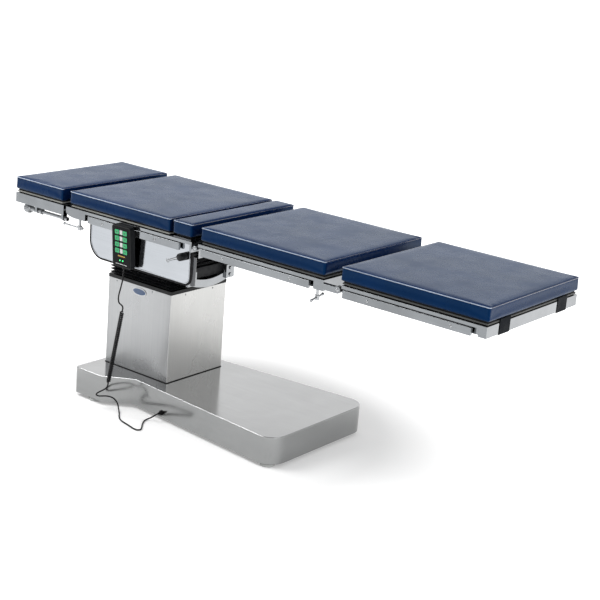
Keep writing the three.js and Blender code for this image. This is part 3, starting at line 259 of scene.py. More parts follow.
def addPiece(name, shape, material, body, slot, replaces=(), sharpAngle=32, flat=False):
    points, faces = shape
    mesh = meshFrom(name, points, faces=faces)
    facedOut(mesh)
    smoothed(mesh, sharpAngle)
    painted(mesh, material)
    piece = linked(name, mesh)
    if flat:
        flattened(piece)
    carried(piece, body, slot, *replaces)
    return piece


# Materials: uniform numbers sit on the shader's sockets, and the rest comes from noise on Object coordinates
class Finish:
    def __init__(self, name, **values):
        self.material = bpy.data.materials.new(name)
        self.material.use_nodes = True
        self.tree = self.material.node_tree
        self.shader = self.tree.nodes["Principled BSDF"]
        self.coordinates = self.tree.nodes.new("ShaderNodeTexCoord").outputs["Object"]
        for key, value in values.items():
            self.shader.inputs[key.replace("_", " ")].default_value = value

    def node(self, kind, *sources, **values):
        made = self.tree.nodes.new(kind)
        for key, value in values.items():
            label = key.replace("_", " ")
            if label in made.inputs:
                made.inputs[label].default_value = value
            else:
                setattr(made, key, value)
        for socket, source in zip(made.inputs, sources):
            self.link(source, socket)
        return made

    def link(self, source, target):
        self.tree.links.new(source, target)

    def math(self, operation, *sources):
        return self.node("ShaderNodeMath", *sources, operation=operation).outputs[0]

    def reach(self, source, axis):
        return self.math("ABSOLUTE", self.node("ShaderNodeSeparateXYZ", source).outputs[axis])

    def noise(self, scale, stretch=(1, 1, 1), detail=3.0, roughness=0.5):
        mapping = self.node("ShaderNodeMapping", self.coordinates, Scale=stretch).outputs["Vector"]
        made = self.node("ShaderNodeTexNoise", mapping, Scale=scale, Detail=detail, Roughness=roughness)
        return made.outputs["Fac"]

    def ranged(self, source, low, high, fromLow=0.3, fromHigh=0.7):
        ends = {"From_Min": fromLow, "From_Max": fromHigh, "To_Min": low, "To_Max": high}
        return self.node("ShaderNodeMapRange", source, **ends).outputs["Result"]

    def blended(self, source, first, second, fromLow=0.3, fromHigh=0.7):
        made = self.node("ShaderNodeMix", self.ranged(source, 0, 1, fromLow, fromHigh), data_type="RGBA")
        sockets = [socket for socket in made.inputs if socket.type == "RGBA"]
        for socket, colour in zip(sockets, (first, second)):
            socket.default_value = (*colour, 1)
        return [output for output in made.outputs if output.type == "RGBA"][0]

    def bump(self, source, distance, under=None):
        made = self.node("ShaderNodeBump", Strength=1.0, Distance=distance)
        self.link(source, made.inputs["Height"])
        if under is not None:
            self.link(under, made.inputs["Normal"])
        return made.outputs["Normal"]

    def driven(self, **sources):
        for key, source in sources.items():
            self.link(source, self.shader.inputs[key.replace("_", " ")])
        return self.material


# Steel gets a tone by the way each face turns, which is painted light and shade. The faces along one axis have a tone
# of their own: darker on the near and far faces of the rails, trays and column, and lighter on the top of the base
# than on its skirt
steelLooks = {
    "polishedSteel": {"tone": (0.30, 0.31, 0.32), "along": (0.19, 0.20, 0.21), "rough": (0.11, 0.18),
                      "grain": (3, 260, 260), "smudge": (0.78, 1.2)},
    "columnSheet": {"tone": (0.50, 0.50, 0.49), "along": (0.30, 0.305, 0.31), "rough": (0.24, 0.32),
                    "grain": (260, 260, 3), "smudge": (0.94, 1.03)},
    "baseSheet": {"tone": (0.325, 0.33, 0.33), "along": (0.57, 0.575, 0.58), "rough": (0.13, 0.20),
                  "grain": (3, 260, 60), "smudge": (0.95, 1.03), "axis": "Z"},
    "plateSheet": {"tone": (0.33, 0.345, 0.365), "along": (0.315, 0.33, 0.35), "rough": (0.10, 0.15),
                   "grain": (3, 260, 260), "smudge": (0.93, 1.05)},
    # A dark copy of the steel, painted shade, used on the kidney tray
    "shadedSteel": {"tone": (0.09, 0.092, 0.096), "along": (0.07, 0.072, 0.076), "rough": (0.18, 0.26),
                    "grain": (3, 260, 260), "smudge": (0.85, 1.1)},
}
brushing = {"anisotropy": 0.45, "streaks": (0.972, 1.028), "depth": 0.00002, "waveScale": 2.2, "waveDepth": 0.00035}


def steelFinish(name, look):
    finish = Finish(name, Metallic=1.0, Anisotropic=brushing["anisotropy"])
    normal = finish.node("ShaderNodeNewGeometry").outputs["True Normal"]
    # The two tones mix by how far each face turns towards the axis: painted light and shade by direction
    tone = finish.blended(finish.reach(normal, look.get("axis", "Y")), look["tone"], look["along"], 0.3, 0.9)
    smudges = finish.ranged(finish.noise(4.0, detail=4.0, roughness=0.55), *look["smudge"])
    grain = finish.noise(1.0, stretch=look["grain"], detail=2.0)
    scaled = finish.node("ShaderNodeVectorMath", tone, operation="SCALE")
    shade = finish.math("MULTIPLY", smudges, finish.ranged(grain, *brushing["streaks"]))
    finish.link(shade, scaled.inputs["Scale"])
    waves = finish.bump(finish.noise(brushing["waveScale"], detail=1.0), brushing["waveDepth"])
    return finish.driven(
        Base_Color=scaled.outputs[0], Roughness=finish.ranged(finish.noise(5.0, detail=3.0), *look["rough"]),
        Tangent=finish.node("ShaderNodeCombineXYZ", Y=0.3, Z=1.0).outputs[0],
        Normal=finish.bump(grain, brushing["depth"], under=waves),
    )


def vinylFinish():
    finish = Finish(
        "navyVinyl", Metallic=0.0, IOR=1.31, Sheen_Weight=0.13, Sheen_Roughness=0.4,
        Sheen_Tint=(0.42, 0.70, 1.0, 1), Specular_Tint=(0.1, 0.5, 0.95, 1),
    )
    creases = finish.bump(finish.noise(13.0, stretch=(1, 0.45, 1), detail=3.0, roughness=0.5), 0.0007)
    grain = finish.node("ShaderNodeTexVoronoi", finish.coordinates, Scale=620.0)
    return finish.driven(
        Base_Color=finish.blended(finish.noise(6.0, detail=4.0), (0.0008, 0.010, 0.052), (0.001, 0.015, 0.074)),
        Roughness=finish.ranged(finish.noise(11.0, detail=5.0), 0.22, 0.33),
        Normal=finish.bump(grain.outputs["Distance"], 0.00009, under=creases),
    )


def highlightedSeamFinish():
    # The long edges carry a pale painted highlight, broken up by noise; the short ones keep the navy
    finish = Finish("weldedEdge", Metallic=0.0, IOR=1.45, Coat_Weight=1.0, Coat_Roughness=0.08)
    longEdge = finish.ranged(finish.reach(finish.coordinates, "Y"), 0.0, 1.0, 0.249, 0.255)
    paintedHighlight = finish.math("MULTIPLY", longEdge, finish.ranged(finish.noise(9.0, detail=4.0), 0.55, 1.0))
    return finish.driven(
        Base_Color=finish.blended(paintedHighlight, (0.003, 0.018, 0.08), (0.48, 0.56, 0.70), 0.0, 1.0),
        Roughness=finish.ranged(finish.noise(60.0), 0.2, 0.3),
        Normal=finish.bump(finish.noise(220.0, detail=2.0), 0.00006),
    )


def plainFinish(name, colour, rough, metallic=0.0, grainScale=700.0, grainDepth=0.00008, spread=0.2, gloss=0.5):
    finish = Finish(name, Metallic=metallic, Specular_IOR_Level=gloss)
    darker = tuple(value * (1 - spread) for value in colour)
    return finish.driven(
        Base_Color=finish.blended(finish.noise(14.0, detail=4.0), darker, colour),
        Roughness=finish.ranged(finish.noise(20.0, detail=3.0), rough * 0.85, min(1.0, rough * 1.15)),
        Normal=finish.bump(finish.noise(grainScale, detail=2.0), grainDepth),
    )


def castFinish():
    finish = Finish("castIron", Metallic=0.0, Specular_IOR_Level=0.25)
    return finish.driven(
        Base_Color=finish.blended(finish.noise(30.0, detail=5.0), (0.012, 0.013, 0.014), (0.024, 0.025, 0.027)),
        Roughness=finish.ranged(finish.noise(60.0), 0.5, 0.7),
        Normal=finish.bump(finish.noise(260.0, detail=4.0), 0.0004),
    )


def lampFinish():
    green = (0.05, 0.9, 0.25, 1)
    finish = Finish("greenLamp", Roughness=0.3, Base_Color=green, Emission_Color=green, Emission_Strength=1.2)
    return finish.material


polishedSteel, columnSheet, baseSheet, plateSheet, shadedSteel = (
    steelFinish(name, look) for name, look in steelLooks.items()
)
navyVinyl = vinylFinish()
weldedEdge = highlightedSeamFinish()
castIron = castFinish()
greenLamp = lampFinish()
chrome = plainFinish("chrome", (0.33, 0.34, 0.35), 0.10, 1.0, 90.0, 0.00002, 0.08)
castSteel = plainFinish("castSteel", (0.27, 0.28, 0.29), 0.34, 1.0, 160.0, spread=0.12)
paintedIron = plainFinish("paintedIron", (0.035, 0.038, 0.042), 0.45, grainDepth=0.00012, gloss=0.3)
blackRubber = plainFinish("blackRubber", (0.005, 0.005, 0.006), 0.5, grainScale=500.0, gloss=0.12)
bootRubber = plainFinish("bootRubber", (0.010, 0.011, 0.013), 0.27, 0.0, 350.0, 0.00006, gloss=0.7)
cordRubber = plainFinish("cordRubber", (0.005, 0.005, 0.006), 0.38, 0.0, 900.0, 0.00003, gloss=0.15)
blackPlastic = plainFinish("blackPlastic", (0.006, 0.007, 0.008), 0.35, 0.0, 1500.0, 0.00003, gloss=0.18)
frontPlastic = plainFinish("frontPlastic", (0.003, 0.004, 0.005), 0.22, 0.0, 1800.0, 0.00001, gloss=0.07)
framePlastic = plainFinish("framePlastic", (0.004, 0.006, 0.007), 0.3, 0.0, 1800.0, 0.00001, gloss=0.07)
webbing = plainFinish("webbing", (0.007, 0.009, 0.012), 0.62, 0.0, 1200.0, 0.00018, gloss=0.08)
boardEdge = plainFinish("boardEdge", (0.40, 0.40, 0.37), 0.5, grainScale=300.0, gloss=0.3)
boardGrey = plainFinish("boardGrey", (0.09, 0.092, 0.09), 0.5, grainScale=300.0, gloss=0.3)
greyPlastic = plainFinish("greyPlastic", (0.60, 0.61, 0.60), 0.5, grainDepth=0.00004, spread=0.06)
greenKey = plainFinish("greenKey", (0.02, 0.52, 0.18), 0.32, 0.0, 1200.0, 0.00002, 0.1)
whitePrint = plainFinish("whitePrint", (0.92, 0.93, 0.92), 0.45, grainDepth=0.00001, spread=0.03)
goldPrint = plainFinish("goldPrint", (0.60, 0.36, 0.06), 0.45, grainDepth=0.00001, spread=0.1)
badgeBlue = plainFinish("badgeBlue", (0.10, 0.17, 0.33), 0.25, grainDepth=0.00001)
markGreen = plainFinish("markGreen", (0.004, 0.06, 0.03), 0.4, grainDepth=0.00001)
print("materials made")


# Handset cord: a thin lead, a curly stretch and a thin lead along the floor into the grommet
cordLook = {
    "diameter": 5, "sides": 10, "leadSteps": 5, "curls": 38, "curlSteps": 16, "curlOuterDiameter": 15.5,
    "curlStart": (570.4, -280, 374), "curlEnd": (517, -280, 97),
}
upperRoute = [
    (553, -264.9, 517.7), (553.4, -264.4, 508), (554.8, -267.5, 490), (556.4, -272.5, 470), (556, -277, 452),
    (553, -279.5, 434), (550.5, -281, 418), (550.5, -281, 405.5), (554.5, -281, 396), (562.5, -280.5, 392),
    (569, -280.2, 388), (571.6, -280, 381), (570.5, -280, 374.6),
]
floorRoute = [
    (516.9, -280, 96.4), (515.5, -280, 89.5), (510, -281.5, 79), (499, -285, 69.5), (486, -288.5, 60.5),
    (475.5, -290.5, 52), (471.5, -288, 44.5), (476, -281, 40.5), (487, -274.5, 42), (501, -269, 44.5),
    (516, -265.5, 45.5), (530, -263, 43), (541, -260.5, 35), (547.5, -259, 24), (552, -259.5, 12.5),
    (560, -264.5, 5), (573, -276, 2.8), (590, -293, 2.8), (609, -308, 2.8), (632, -318, 2.8), (655, -323, 2.8),
    (680, -329, 2.8), (700, -334, 2.8), (715, -333, 2.8), (721, -323.5, 2.8), (714, -311, 2.8), (700, -294, 2.8),
    (685, -275, 2.8), (674, -256, 2.8), (673, -240, 4.5), (680, -229.5, 10), (703, -227.7, 28), (703, -222.7, 28),
]


def smoothRoute(points, steps):
    knots = [at(*point) for point in points]
    knots = [knots[0] * 2 - knots[1], *knots, knots[-1] * 2 - knots[-2]]
    route = []
    for i in range(1, len(knots) - 2):
        a, b, c, d = knots[i - 1:i + 3]
        before, here, after = ((second - first).length ** 0.5 for first, second in ((a, b), (b, c), (c, d)))
        leave = ((b - a) / before - (c - a) / (before + here) + (c - b) / here) * here
        arrive = ((c - b) / here - (d - b) / (here + after) + (d - c) / after) * here
        for step in range(steps):
            t = step / steps
            square = c * 3 - b * 3 - leave * 2 - arrive
            cube = b * 2 - c * 2 + leave + arrive
            route.append(b + leave * t + square * t ** 2 + cube * t ** 3)
    return [*route, knots[-2]]


def curlRoute(look):
    start, end = at(*look["curlStart"]), at(*look["curlEnd"])
    axis = (end - start).normalized()
    sideways = Vector((0, 1, 0))
    outward = axis.cross(sideways).normalized()
    radius = (look["curlOuterDiameter"] - look["diameter"]) / 2 * mm
    straight = look["diameter"] * mm
    wound = (end - start).length - 2 * straight
    steps = look["curls"] * look["curlSteps"]
    rise = look["curlSteps"] / 2
    route = [start]
    for i in range(steps + 1):
        angle = 2 * math.pi * i / look["curlSteps"]
        swell = min(1, i / rise, (steps - i) / rise)
        place = start + axis * (straight + wound * i / steps)
        route.append(place + (outward * math.cos(angle) + sideways * math.sin(angle)) * (radius * swell))
    return [*route, end]


def routeLength(route):
    return sum((second - first).length for first, second in zip(route, route[1:]))


curl = curlRoute(cordLook)
split = len(curl) // 2
upperLead, lowerLead = (smoothRoute(points, cordLook["leadSteps"]) for points in (upperRoute, floorRoute))
cords = {
    "handsetLead": {"route": upperLead, "lay": "hanging", "node": "cord_upper", "bodies": ("back_section", "cradle"),
                    "start": at(553, -265, 512), "end": at(570.5, -280, 376)},
    "curlAbove": {"route": curl[:split + 1], "lay": "coiled", "node": "cord_curl", "bodies": ("cradle", "lift_head")},
    "curlBelow": {"route": curl[split:], "lay": "coiled", "node": "cord_curl", "bodies": ("lift_head", "pedestal")},
    "floorLead": {"route": lowerLead, "lay": "loose", "node": "cord_floor", "bodies": ("pedestal",)},
}


def makeCord(name, spec, look):
    route, bodies = spec["route"], spec["bodies"]
    tube = swept(route, look["diameter"] / 2 * mm, look["sides"])
    body = bodies[0] if len(bodies) == 1 else None
    piece = addPiece(name, tube, cordRubber, body, "black_rubber", (spec["node"],))
    if not body:
        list(bodies)
        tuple(spec.get("start", route[0]))
        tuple(spec.get("end", route[-1]))
        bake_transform(piece)
    tuple(route[0])
    routeLength(route)
    [tuple(point) for point in route]


for name, spec in cords.items():
    makeCord(name, spec, cordLook)
print("cord laid")


# Geometry Nodes: a tree with named inputs, and the mesh that it grows
class NodeShape:
    def __init__(self, name, sizes):
        self.tree = bpy.data.node_groups.new(name, "GeometryNodeTree")
        self.sockets = {}
        newSocket = self.tree.interface.new_socket
        for label, kind in sizes.items():
            self.sockets[label] = newSocket(label, in_out="INPUT", socket_type="NodeSocket" + kind)
        newSocket("Geometry", in_out="OUTPUT", socket_type="NodeSocketGeometry")
        self.inputs = self.tree.nodes.new("NodeGroupInput").outputs
        self.output = self.tree.nodes.new("NodeGroupOutput")

    def node(self, kind, links=None, **settings):
        made = self.tree.nodes.new(kind)
        for key, value in settings.items():
            setattr(made, key, value)
        for key, source in (links or {}).items():
            if hasattr(source, "is_output"):
                self.tree.links.new(source, made.inputs[key])
            else:
                made.inputs[key].default_value = source
        return made.outputs

    def math(self, operation, first, second):
        return self.node("ShaderNodeMath", {0: first, 1: second}, operation=operation)[0]

    def vector(self, **parts):
        return self.node("ShaderNodeCombineXYZ", parts)[0]

    def finish(self, geometry):
        flat = self.node("GeometryNodeRealizeInstances", {"Geometry": geometry})["Geometry"]
        links = {"Geometry": flat, "Material": self.inputs["Material"]}
        self.tree.links.new(self.node("GeometryNodeSetMaterial", links)["Geometry"], self.output.inputs[0])
        return self

    def grow(self, name, values, points=(), edges=(), sharpAngle=32):
        seed = linked(name, meshFrom(name, points, edges))
        modifier = seed.modifiers.new(name, "NODES")
        modifier.node_group = self.tree
        for label, value in values.items():
            modifier[self.sockets[label].identifier] = value
        grown = finished(seed)
        facedOut(grown, 0.00001)
        smoothed(grown, sharpAngle)
        return seed


# Folded boots: a rounded ring drawn in once for every fold
foldLook = {"steps": 8.0, "cornerSteps": 7, "shape": 1.25}
boots = {
    "columnBoot": {
        "middle": (509, 0), "bottom": 432.9, "top": 499.4, "length": 301, "width": 283, "corner": 9, "folds": 6,
        "depth": 15, "node": "column_bellows", "bodies": ("pedestal", "lift_head"),
    },
    "headBoot": {
        "middle": (526.5, 0), "bottom": 510.6, "top": 611.5, "length": 328, "width": 261, "corner": 21, "folds": 7,
        "depth": 13.5, "node": "tilt_boot", "bodies": ("lift_head", "cradle"),
    },
}
bootSizes = ("length", "width", "corner", "bottom", "top", "depth")


def makeFoldTree(look):
    sizes = {key.capitalize(): "Float" for key in bootSizes}
    shape = NodeShape("foldedSkin", {**sizes, "Folds": "Int", "Material": "Material"})
    size, node, calc = shape.inputs, shape.node, shape.math
    links = {"Width": size["Length"], "Height": size["Width"]}
    ring = node("GeometryNodeCurvePrimitiveQuadrilateral", links)["Curve"]
    links = {"Curve": ring, "Radius": size["Corner"], "Count": look["cornerSteps"]}
    ring = node("GeometryNodeFilletCurve", links, mode="POLY")["Curve"]
    links = {"Start": shape.vector(Z=size["Bottom"]), "End": shape.vector(Z=size["Top"])}
    post = node("GeometryNodeCurvePrimitiveLine", links)["Curve"]
    levels = calc("ADD", calc("MULTIPLY", size["Folds"], look["steps"]), 1.0)
    post = node("GeometryNodeResampleCurve", {"Curve": post, "Count": levels})["Curve"]
    phase = calc("DIVIDE", node("GeometryNodeInputIndex")["Index"], look["steps"])
    wave = calc("MULTIPLY", calc("PINGPONG", phase, 0.5), 2.0)
    drawn = calc("POWER", calc("SUBTRACT", 1.0, wave), look["shape"])
    share = calc("DIVIDE", calc("MULTIPLY", size["Depth"], 2.0), size["Length"])
    width = calc("SUBTRACT", 1.0, calc("MULTIPLY", drawn, share))
    links = {"Curve": post, "Profile Curve": ring, "Scale": width, "Fill Caps": True}
    return shape.finish(node("GeometryNodeCurveToMesh", links)["Mesh"])


def makeBoot(name, look, tree):
    values = {key.capitalize(): look[key] * mm for key in bootSizes}
    boot = tree.grow(name, {**values, "Folds": look["folds"], "Material": bootRubber}, sharpAngle=60)
    # The ring may come out with its length across the table
    if max(vertex.co.x for vertex in boot.data.vertices) < look["length"] * mm / 2 * 0.999:
        boot.data.transform(Matrix.Rotation(math.pi / 2, 4, "Z"))
    boot.data.transform(Matrix.Translation(at(*look["middle"], 0)))
    carried(boot, None, "black_rubber", look["node"])
    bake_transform(boot)


foldTree = makeFoldTree(foldLook)
for name, look in boots.items():
    makeBoot(name, look, foldTree)
print("boots folded")


# Cushions: foam in glossy vinyl, swollen by a cloth simulation, then trimmed with a seam on its upper edge that
# carries a painted highlight on its long sides
padLook = {
    "halfWidth": 260, "bottom": 678, "top": 723, "corner": 3.0, "edge": 1.8, "start": -0.5, "voxel": 5.5,
    "voxelQuick": 9.0, "frames": 20, "cap": 1.5, "draw": 1.3, "crown": 1.4, "pinned": 4.0, "ends": 0.9, "fill": 0.95,
    "seamRadius": 1.6, "seamDrop": 3.0, "seamOut": 0.2, "seamStep": 6,
}
# Under each cushion lie a black band of painted shade, a board and a strip, where it has a board at all
boardLook = {
    "inset": 6, "tuck": 1.5, "foamInset": 1.5, "boardOut": 1.5, "stripInset": 2.5, "stripTop": 2.8, "boardTop": 7.2,
    "edge": 0.5,
}
clothLook = {
    "vertex_group_mass": "onBoard", "use_pressure": True, "uniform_pressure_force": 3.0, "tension_stiffness": 40,
    "compression_stiffness": 40, "bending_stiffness": 4, "quality": 4,
}
cushions = {
    "headCushion": {"node": "head_pad", "body": "head_section", "start": 0, "end": 240, "low": 666.3,
                    "board": boardEdge},
    "backCushion": {"node": "back_pad", "body": "back_section", "start": 278, "end": 746, "low": 666.3,
                    "board": boardEdge},
    "kidneyCushion": {"node": "kidney_pad", "body": "kidney_bridge", "start": 762, "end": 842, "low": 672.3},
    "seatCushion": {"node": "seat_pad", "body": "seat_section", "start": 882, "end": 1377, "low": 666.3,
                    "board": boardGrey},
    "legCushion": {"node": "leg_pad", "body": "leg_section", "start": 1437, "end": 1942, "low": 666.3,
                   "board": boardGrey},
}


def roundedPlan(start, end, halfWidth, corner, inset=0.0, steps=5):
    low, high, wide = start + inset, end - inset, halfWidth - inset
    corner = max(corner - inset, 0.5)
    places = [
        (high - corner, -wide + corner, -90), (high - corner, wide - corner, 0), (low + corner, wide - corner, 90),
        (low + corner, -wide + corner, 180),
    ]
    return [point for x, y, turn in places for point in arc(x, y, corner, turn, turn + 90, steps)]


def padPlan(spec, look, inset):
    return roundedPlan(spec["start"], spec["end"], look["halfWidth"], look["corner"], inset)


def cushionStart(name, spec, look):
    inset = look["start"]
    low, high = look["bottom"] + 0.3, look["top"] - look["crown"] - inset
    outline = onPlan(padPlan(spec, look, inset))
    points, faces = prism(outline, low * mm, high * mm, "Z", look["edge"] * mm, 3)
    return linked(name, meshFrom(name, points, faces=faces))


def coordinates(mesh):
    flat = np.empty(len(mesh.vertices) * 3)
    mesh.vertices.foreach_get("co", flat)
    return flat.reshape(-1, 3)


def swell(pad, look):
    start = coordinates(pad.data)
    low = start[:, 2].min()
    held = pad.vertex_groups.new(name=clothLook["vertex_group_mass"])
    held.add([int(i) for i in np.where(start[:, 2] < low + look["pinned"] * mm)[0]], 1.0, "REPLACE")
    cloth = pad.modifiers.new("vinyl", "CLOTH")
    for key, value in clothLook.items():
        setattr(cloth.settings, key, value)
    cloth.settings.effector_weights.gravity = 0
    cloth.point_cache.frame_start = 1
    cloth.point_cache.frame_end = look["frames"]
    scene = bpy.context.scene
    for step in range(1, look["frames"] + 1):
        scene.frame_set(step)
    mesh = finished(pad)
    scene.frame_set(1)
    move = coordinates(mesh) - start
    far = np.linalg.norm(move, axis=1, keepdims=True)
    cap = look["cap"] * mm
    ends = start + move * (cap * np.tanh(far / cap) / np.maximum(far, 1e-9))
    mesh.vertices.foreach_set("co", ends.ravel())


def crowned(mesh, spec, look):
    points = coordinates(mesh)
    middle = (spec["start"] + spec["end"]) / 2 - tableMiddle
    u = (points[:, 0] / mm - middle) / ((spec["end"] - spec["start"]) / 2)
    v = points[:, 1] / mm / look["halfWidth"]
    height = np.clip((points[:, 2] / mm - look["bottom"]) / (look["top"] - look["bottom"]), 0, 1)
    across, along = np.clip(1 - v ** 2, 0, 1), np.clip(1 - u ** 2, 0, 1)
    points[:, 2] += look["crown"] * mm * height ** 2 * np.sqrt(across * along)
    waist = look["draw"] * mm * np.sin(math.pi * height)
    points[:, 0] -= np.sign(u) * waist * across * (np.abs(u) > look["ends"])
    points[:, 1] -= np.sign(v) * waist * along * (np.abs(v) > look["ends"])
    mesh.vertices.foreach_set("co", points.ravel())


def densePlan(plan, spacing):
    dense = []
    for (x0, y0), (x1, y1) in zip(plan, plan[1:] + plan[:1]):
        count = max(1, round(math.hypot(x1 - x0, y1 - y0) / spacing))
        dense += [(x0 + (x1 - x0) * i / count, y0 + (y1 - y0) * i / count) for i in range(count)]
    return dense


def makePipingTree():
    shape = NodeShape("piping", {"Edge": "Geometry", "Radius": "Float", "Material": "Material"})
    line = shape.node("GeometryNodeMeshToCurve", {"Mesh": shape.inputs["Edge"]})["Curve"]
    links = {"Resolution": 8, "Radius": shape.inputs["Radius"]}
    section = shape.node("GeometryNodeCurvePrimitiveCircle", links)["Curve"]
    links = {"Curve": line, "Profile Curve": section, "Fill Caps": True}
    return shape.finish(shape.node("GeometryNodeCurveToMesh", links)["Mesh"])


pipingTree = makePipingTree()


def makePiping(name, loop, radius, material, body, slot):
    edges = [(i, (i + 1) % len(loop)) for i in range(len(loop))]
    carried(pipingTree.grow(name, {"Radius": radius * mm, "Material": material}, loop, edges), body, slot)


def makeSeam(name, surface, spec, look):
    loop = []
    for x, y in densePlan(padPlan(spec, look, 0.5), look["seamStep"]):
        place, normal, _, _ = surface.find_nearest(at(x, y, look["top"] - look["seamDrop"]))
        loop.append(place + normal * (look["seamRadius"] * mm * look["seamOut"]))
    # The seam's material paints a pale highlight along the long sides
    makePiping(name + "Seam", loop, look["seamRadius"], weldedEdge, spec["body"], "navy_vinyl")


def makeUnderside(name, spec, look, board):
    low, top, inset = spec["low"], look["bottom"] + board["tuck"], board["inset"]
    stripTop, boardTop = low + board["stripTop"], low + board["boardTop"]
    layers = {"Strip": (low, top, inset + board["stripInset"], blackRubber)}
    if "board" in spec:
        layers = {
            # The black band just under the cushion is painted shade
            "Foam": (boardTop, top, inset + board["foamInset"], blackRubber),
            "Board": (stripTop, boardTop, inset - board["boardOut"], spec["board"]),
            "Strip": (low, stripTop, inset + board["stripInset"], blackRubber),
        }
    for word, (start, end, edge, material) in layers.items():
        shape = prism(onPlan(padPlan(spec, look, edge)), start * mm, end * mm, "Z", board["edge"] * mm, 1)
        addPiece(name + word, shape, material, spec["body"], "black_plastic", flat=True)


def makeCushion(name, spec, look):
    pad = cushionStart(name, spec, look)
    remesh = pad.modifiers.new("even", "REMESH")
    remesh.mode = "VOXEL"
    remesh.voxel_size = look["voxel"] * mm
    finished(pad)
    swell(pad, look)
    crowned(pad.data, spec, look)
    smooth = pad.modifiers.new("smooth", "SUBSURF")
    smooth.levels = smooth.render_levels = 1
    finished(pad)
    facedOut(pad.data)
    work = bmesh.new()
    work.from_mesh(pad.data)
    surface = BVHTree.FromBMesh(work)
    work.free()
    pad.data.polygons.foreach_set("use_smooth", [True] * len(pad.data.polygons))
    painted(pad.data, navyVinyl)
    carried(pad, spec["body"], "navy_vinyl", spec["node"])
    makeSeam(name, surface, spec, look)
    makeUnderside(name, spec, look, boardLook)


for name, spec in cushions.items():
    makeCushion(name, spec, padLook)
    print(name, "made")


# Sheet metal and castings: the CAD shape with its edges broken, so that they catch the light
softLook = {"merge": 0.00002, "flat": 0.6, "angle": 30}


def softened(node, name, body, material, slot, width, choose=None, segments=2):
    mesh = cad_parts[node].data.copy()
    mesh.name = name
    work = bmesh.new()
    work.from_mesh(mesh)
    bmesh.ops.remove_doubles(work, verts=work.verts[:], dist=softLook["merge"])
    flat = math.radians(softLook["flat"])
    bmesh.ops.dissolve_limit(work, angle_limit=flat, verts=work.verts[:], edges=work.edges[:])
    angle = math.radians(softLook["angle"])
    sharp = [edge for edge in work.edges if len(edge.link_faces) == 2 and edge.calc_face_angle(0) > angle]
    if choose:
        sharp = [edge for edge in sharp if choose(edge)]
    bevelled(work, sharp, width * mm, segments, True)
    bmesh.ops.remove_doubles(work, verts=work.verts[:], dist=0.00001)
    work.to_mesh(mesh)
    work.free()
    smoothed(mesh)
    painted(mesh, material)
    piece = linked(name, mesh)
    flattened(piece)
    carried(piece, body, slot, node)


def outward(place, middle):
    away = place - middle
    away.z = 0
    return away


def topRim(level, middle):
    def chosen(edge):
        one, two = edge.verts
        away = outward((one.co + two.co) / 2, middle)
        normals = [face.normal for face in edge.link_faces]
        return (
            min(one.co.z, two.co.z) > (level - 0.2) * mm and any(normal.z > 0.95 for normal in normals)
            and any(abs(normal.z) < 0.2 and normal.dot(away) > 0 for normal in normals)
        )
    return chosen


def uprightCorner(middle):
    def chosen(edge):
        one, two = edge.verts
        upright = abs(one.co.x - two.co.x) < 0.0001 and abs(one.co.y - two.co.y) < 0.0001
        away = outward(one.co, middle)
        return upright and all(face.normal.dot(away) > 0 for face in edge.link_faces)
    return chosen


for row in (
    ("base_cover", "baseSheet", "pedestal", baseSheet, "brushed_steel", 4.0, topRim(105, at(740, 0, 0)), 4),
    ("column_cover", "columnSheet", "pedestal", columnSheet, "brushed_steel", 2.6, uprightCorner(at(509, 0, 0)), 3),
    ("side_plate_near", "sidePlateNear", "back_section", plateSheet, "polished_steel", 1.0),
    ("side_plate_far", "sidePlateFar", "back_section", plateSheet, "polished_steel", 1.0),
    ("back_frame", "backTray", "back_section", polishedSteel, "polished_steel", 0.6),
    ("head_frame", "headTray", "head_section", polishedSteel, "polished_steel", 0.6),
    ("seat_frame", "seatTray", "seat_section", polishedSteel, "polished_steel", 0.6),
    ("leg_frame", "legTray", "leg_section", polishedSteel, "polished_steel", 0.6),
    ("end_yoke", "curvedYoke", "lift_head", polishedSteel, "polished_steel", 1.0),
    # The kidney tray takes the dark steel copy, which is painted shade
    ("kidney_board", "kidneyTray", "kidney_bridge", shadedSteel, "polished_steel", 0.6),
    ("saddle_core", "saddlePlate", "lift_head", castIron, "cast_iron", 0.8),
    ("gimbal_block", "gimbalBlock", "cradle", castIron, "cast_iron", 0.8),
    ("tilt_bracket", "tiltHangers", "back_section", castIron, "cast_iron", 0.6),
):
    softened(*row)

# Black sealing bead where the column stands on the base
sealLook = {"radius": 1.7, "height": 105.9, "out": 0.6, "corner": 3, "step": 20}


def makeSeal(look):
    low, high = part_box("column_cover")
    ends = low.x / mm + tableMiddle - look["out"], high.x / mm + tableMiddle + look["out"]
    plan = roundedPlan(*ends, high.y / mm + look["out"], look["corner"])
    loop = [at(x, y, look["height"]) for x, y in densePlan(plan, look["step"])]
    makePiping("columnSeal", loop, look["radius"], blackRubber, "pedestal", "black_rubber")


makeSeal(sealLook)
print("sheet metal softened")


# Black edge trim and pressed rim line of the side plates
plateLook = {
    "start": 367, "end": 836, "top": 652.5, "bottom": 512, "headRadius": 62, "footRadius": 28, "inner": 240,
    "outer": 246, "trimOut": 0.9, "trimIn": 5.6, "trimProud": 0.9, "trimCorner": 0.7, "rimInset": 8.5,
    "rimRadius": 0.9,
}


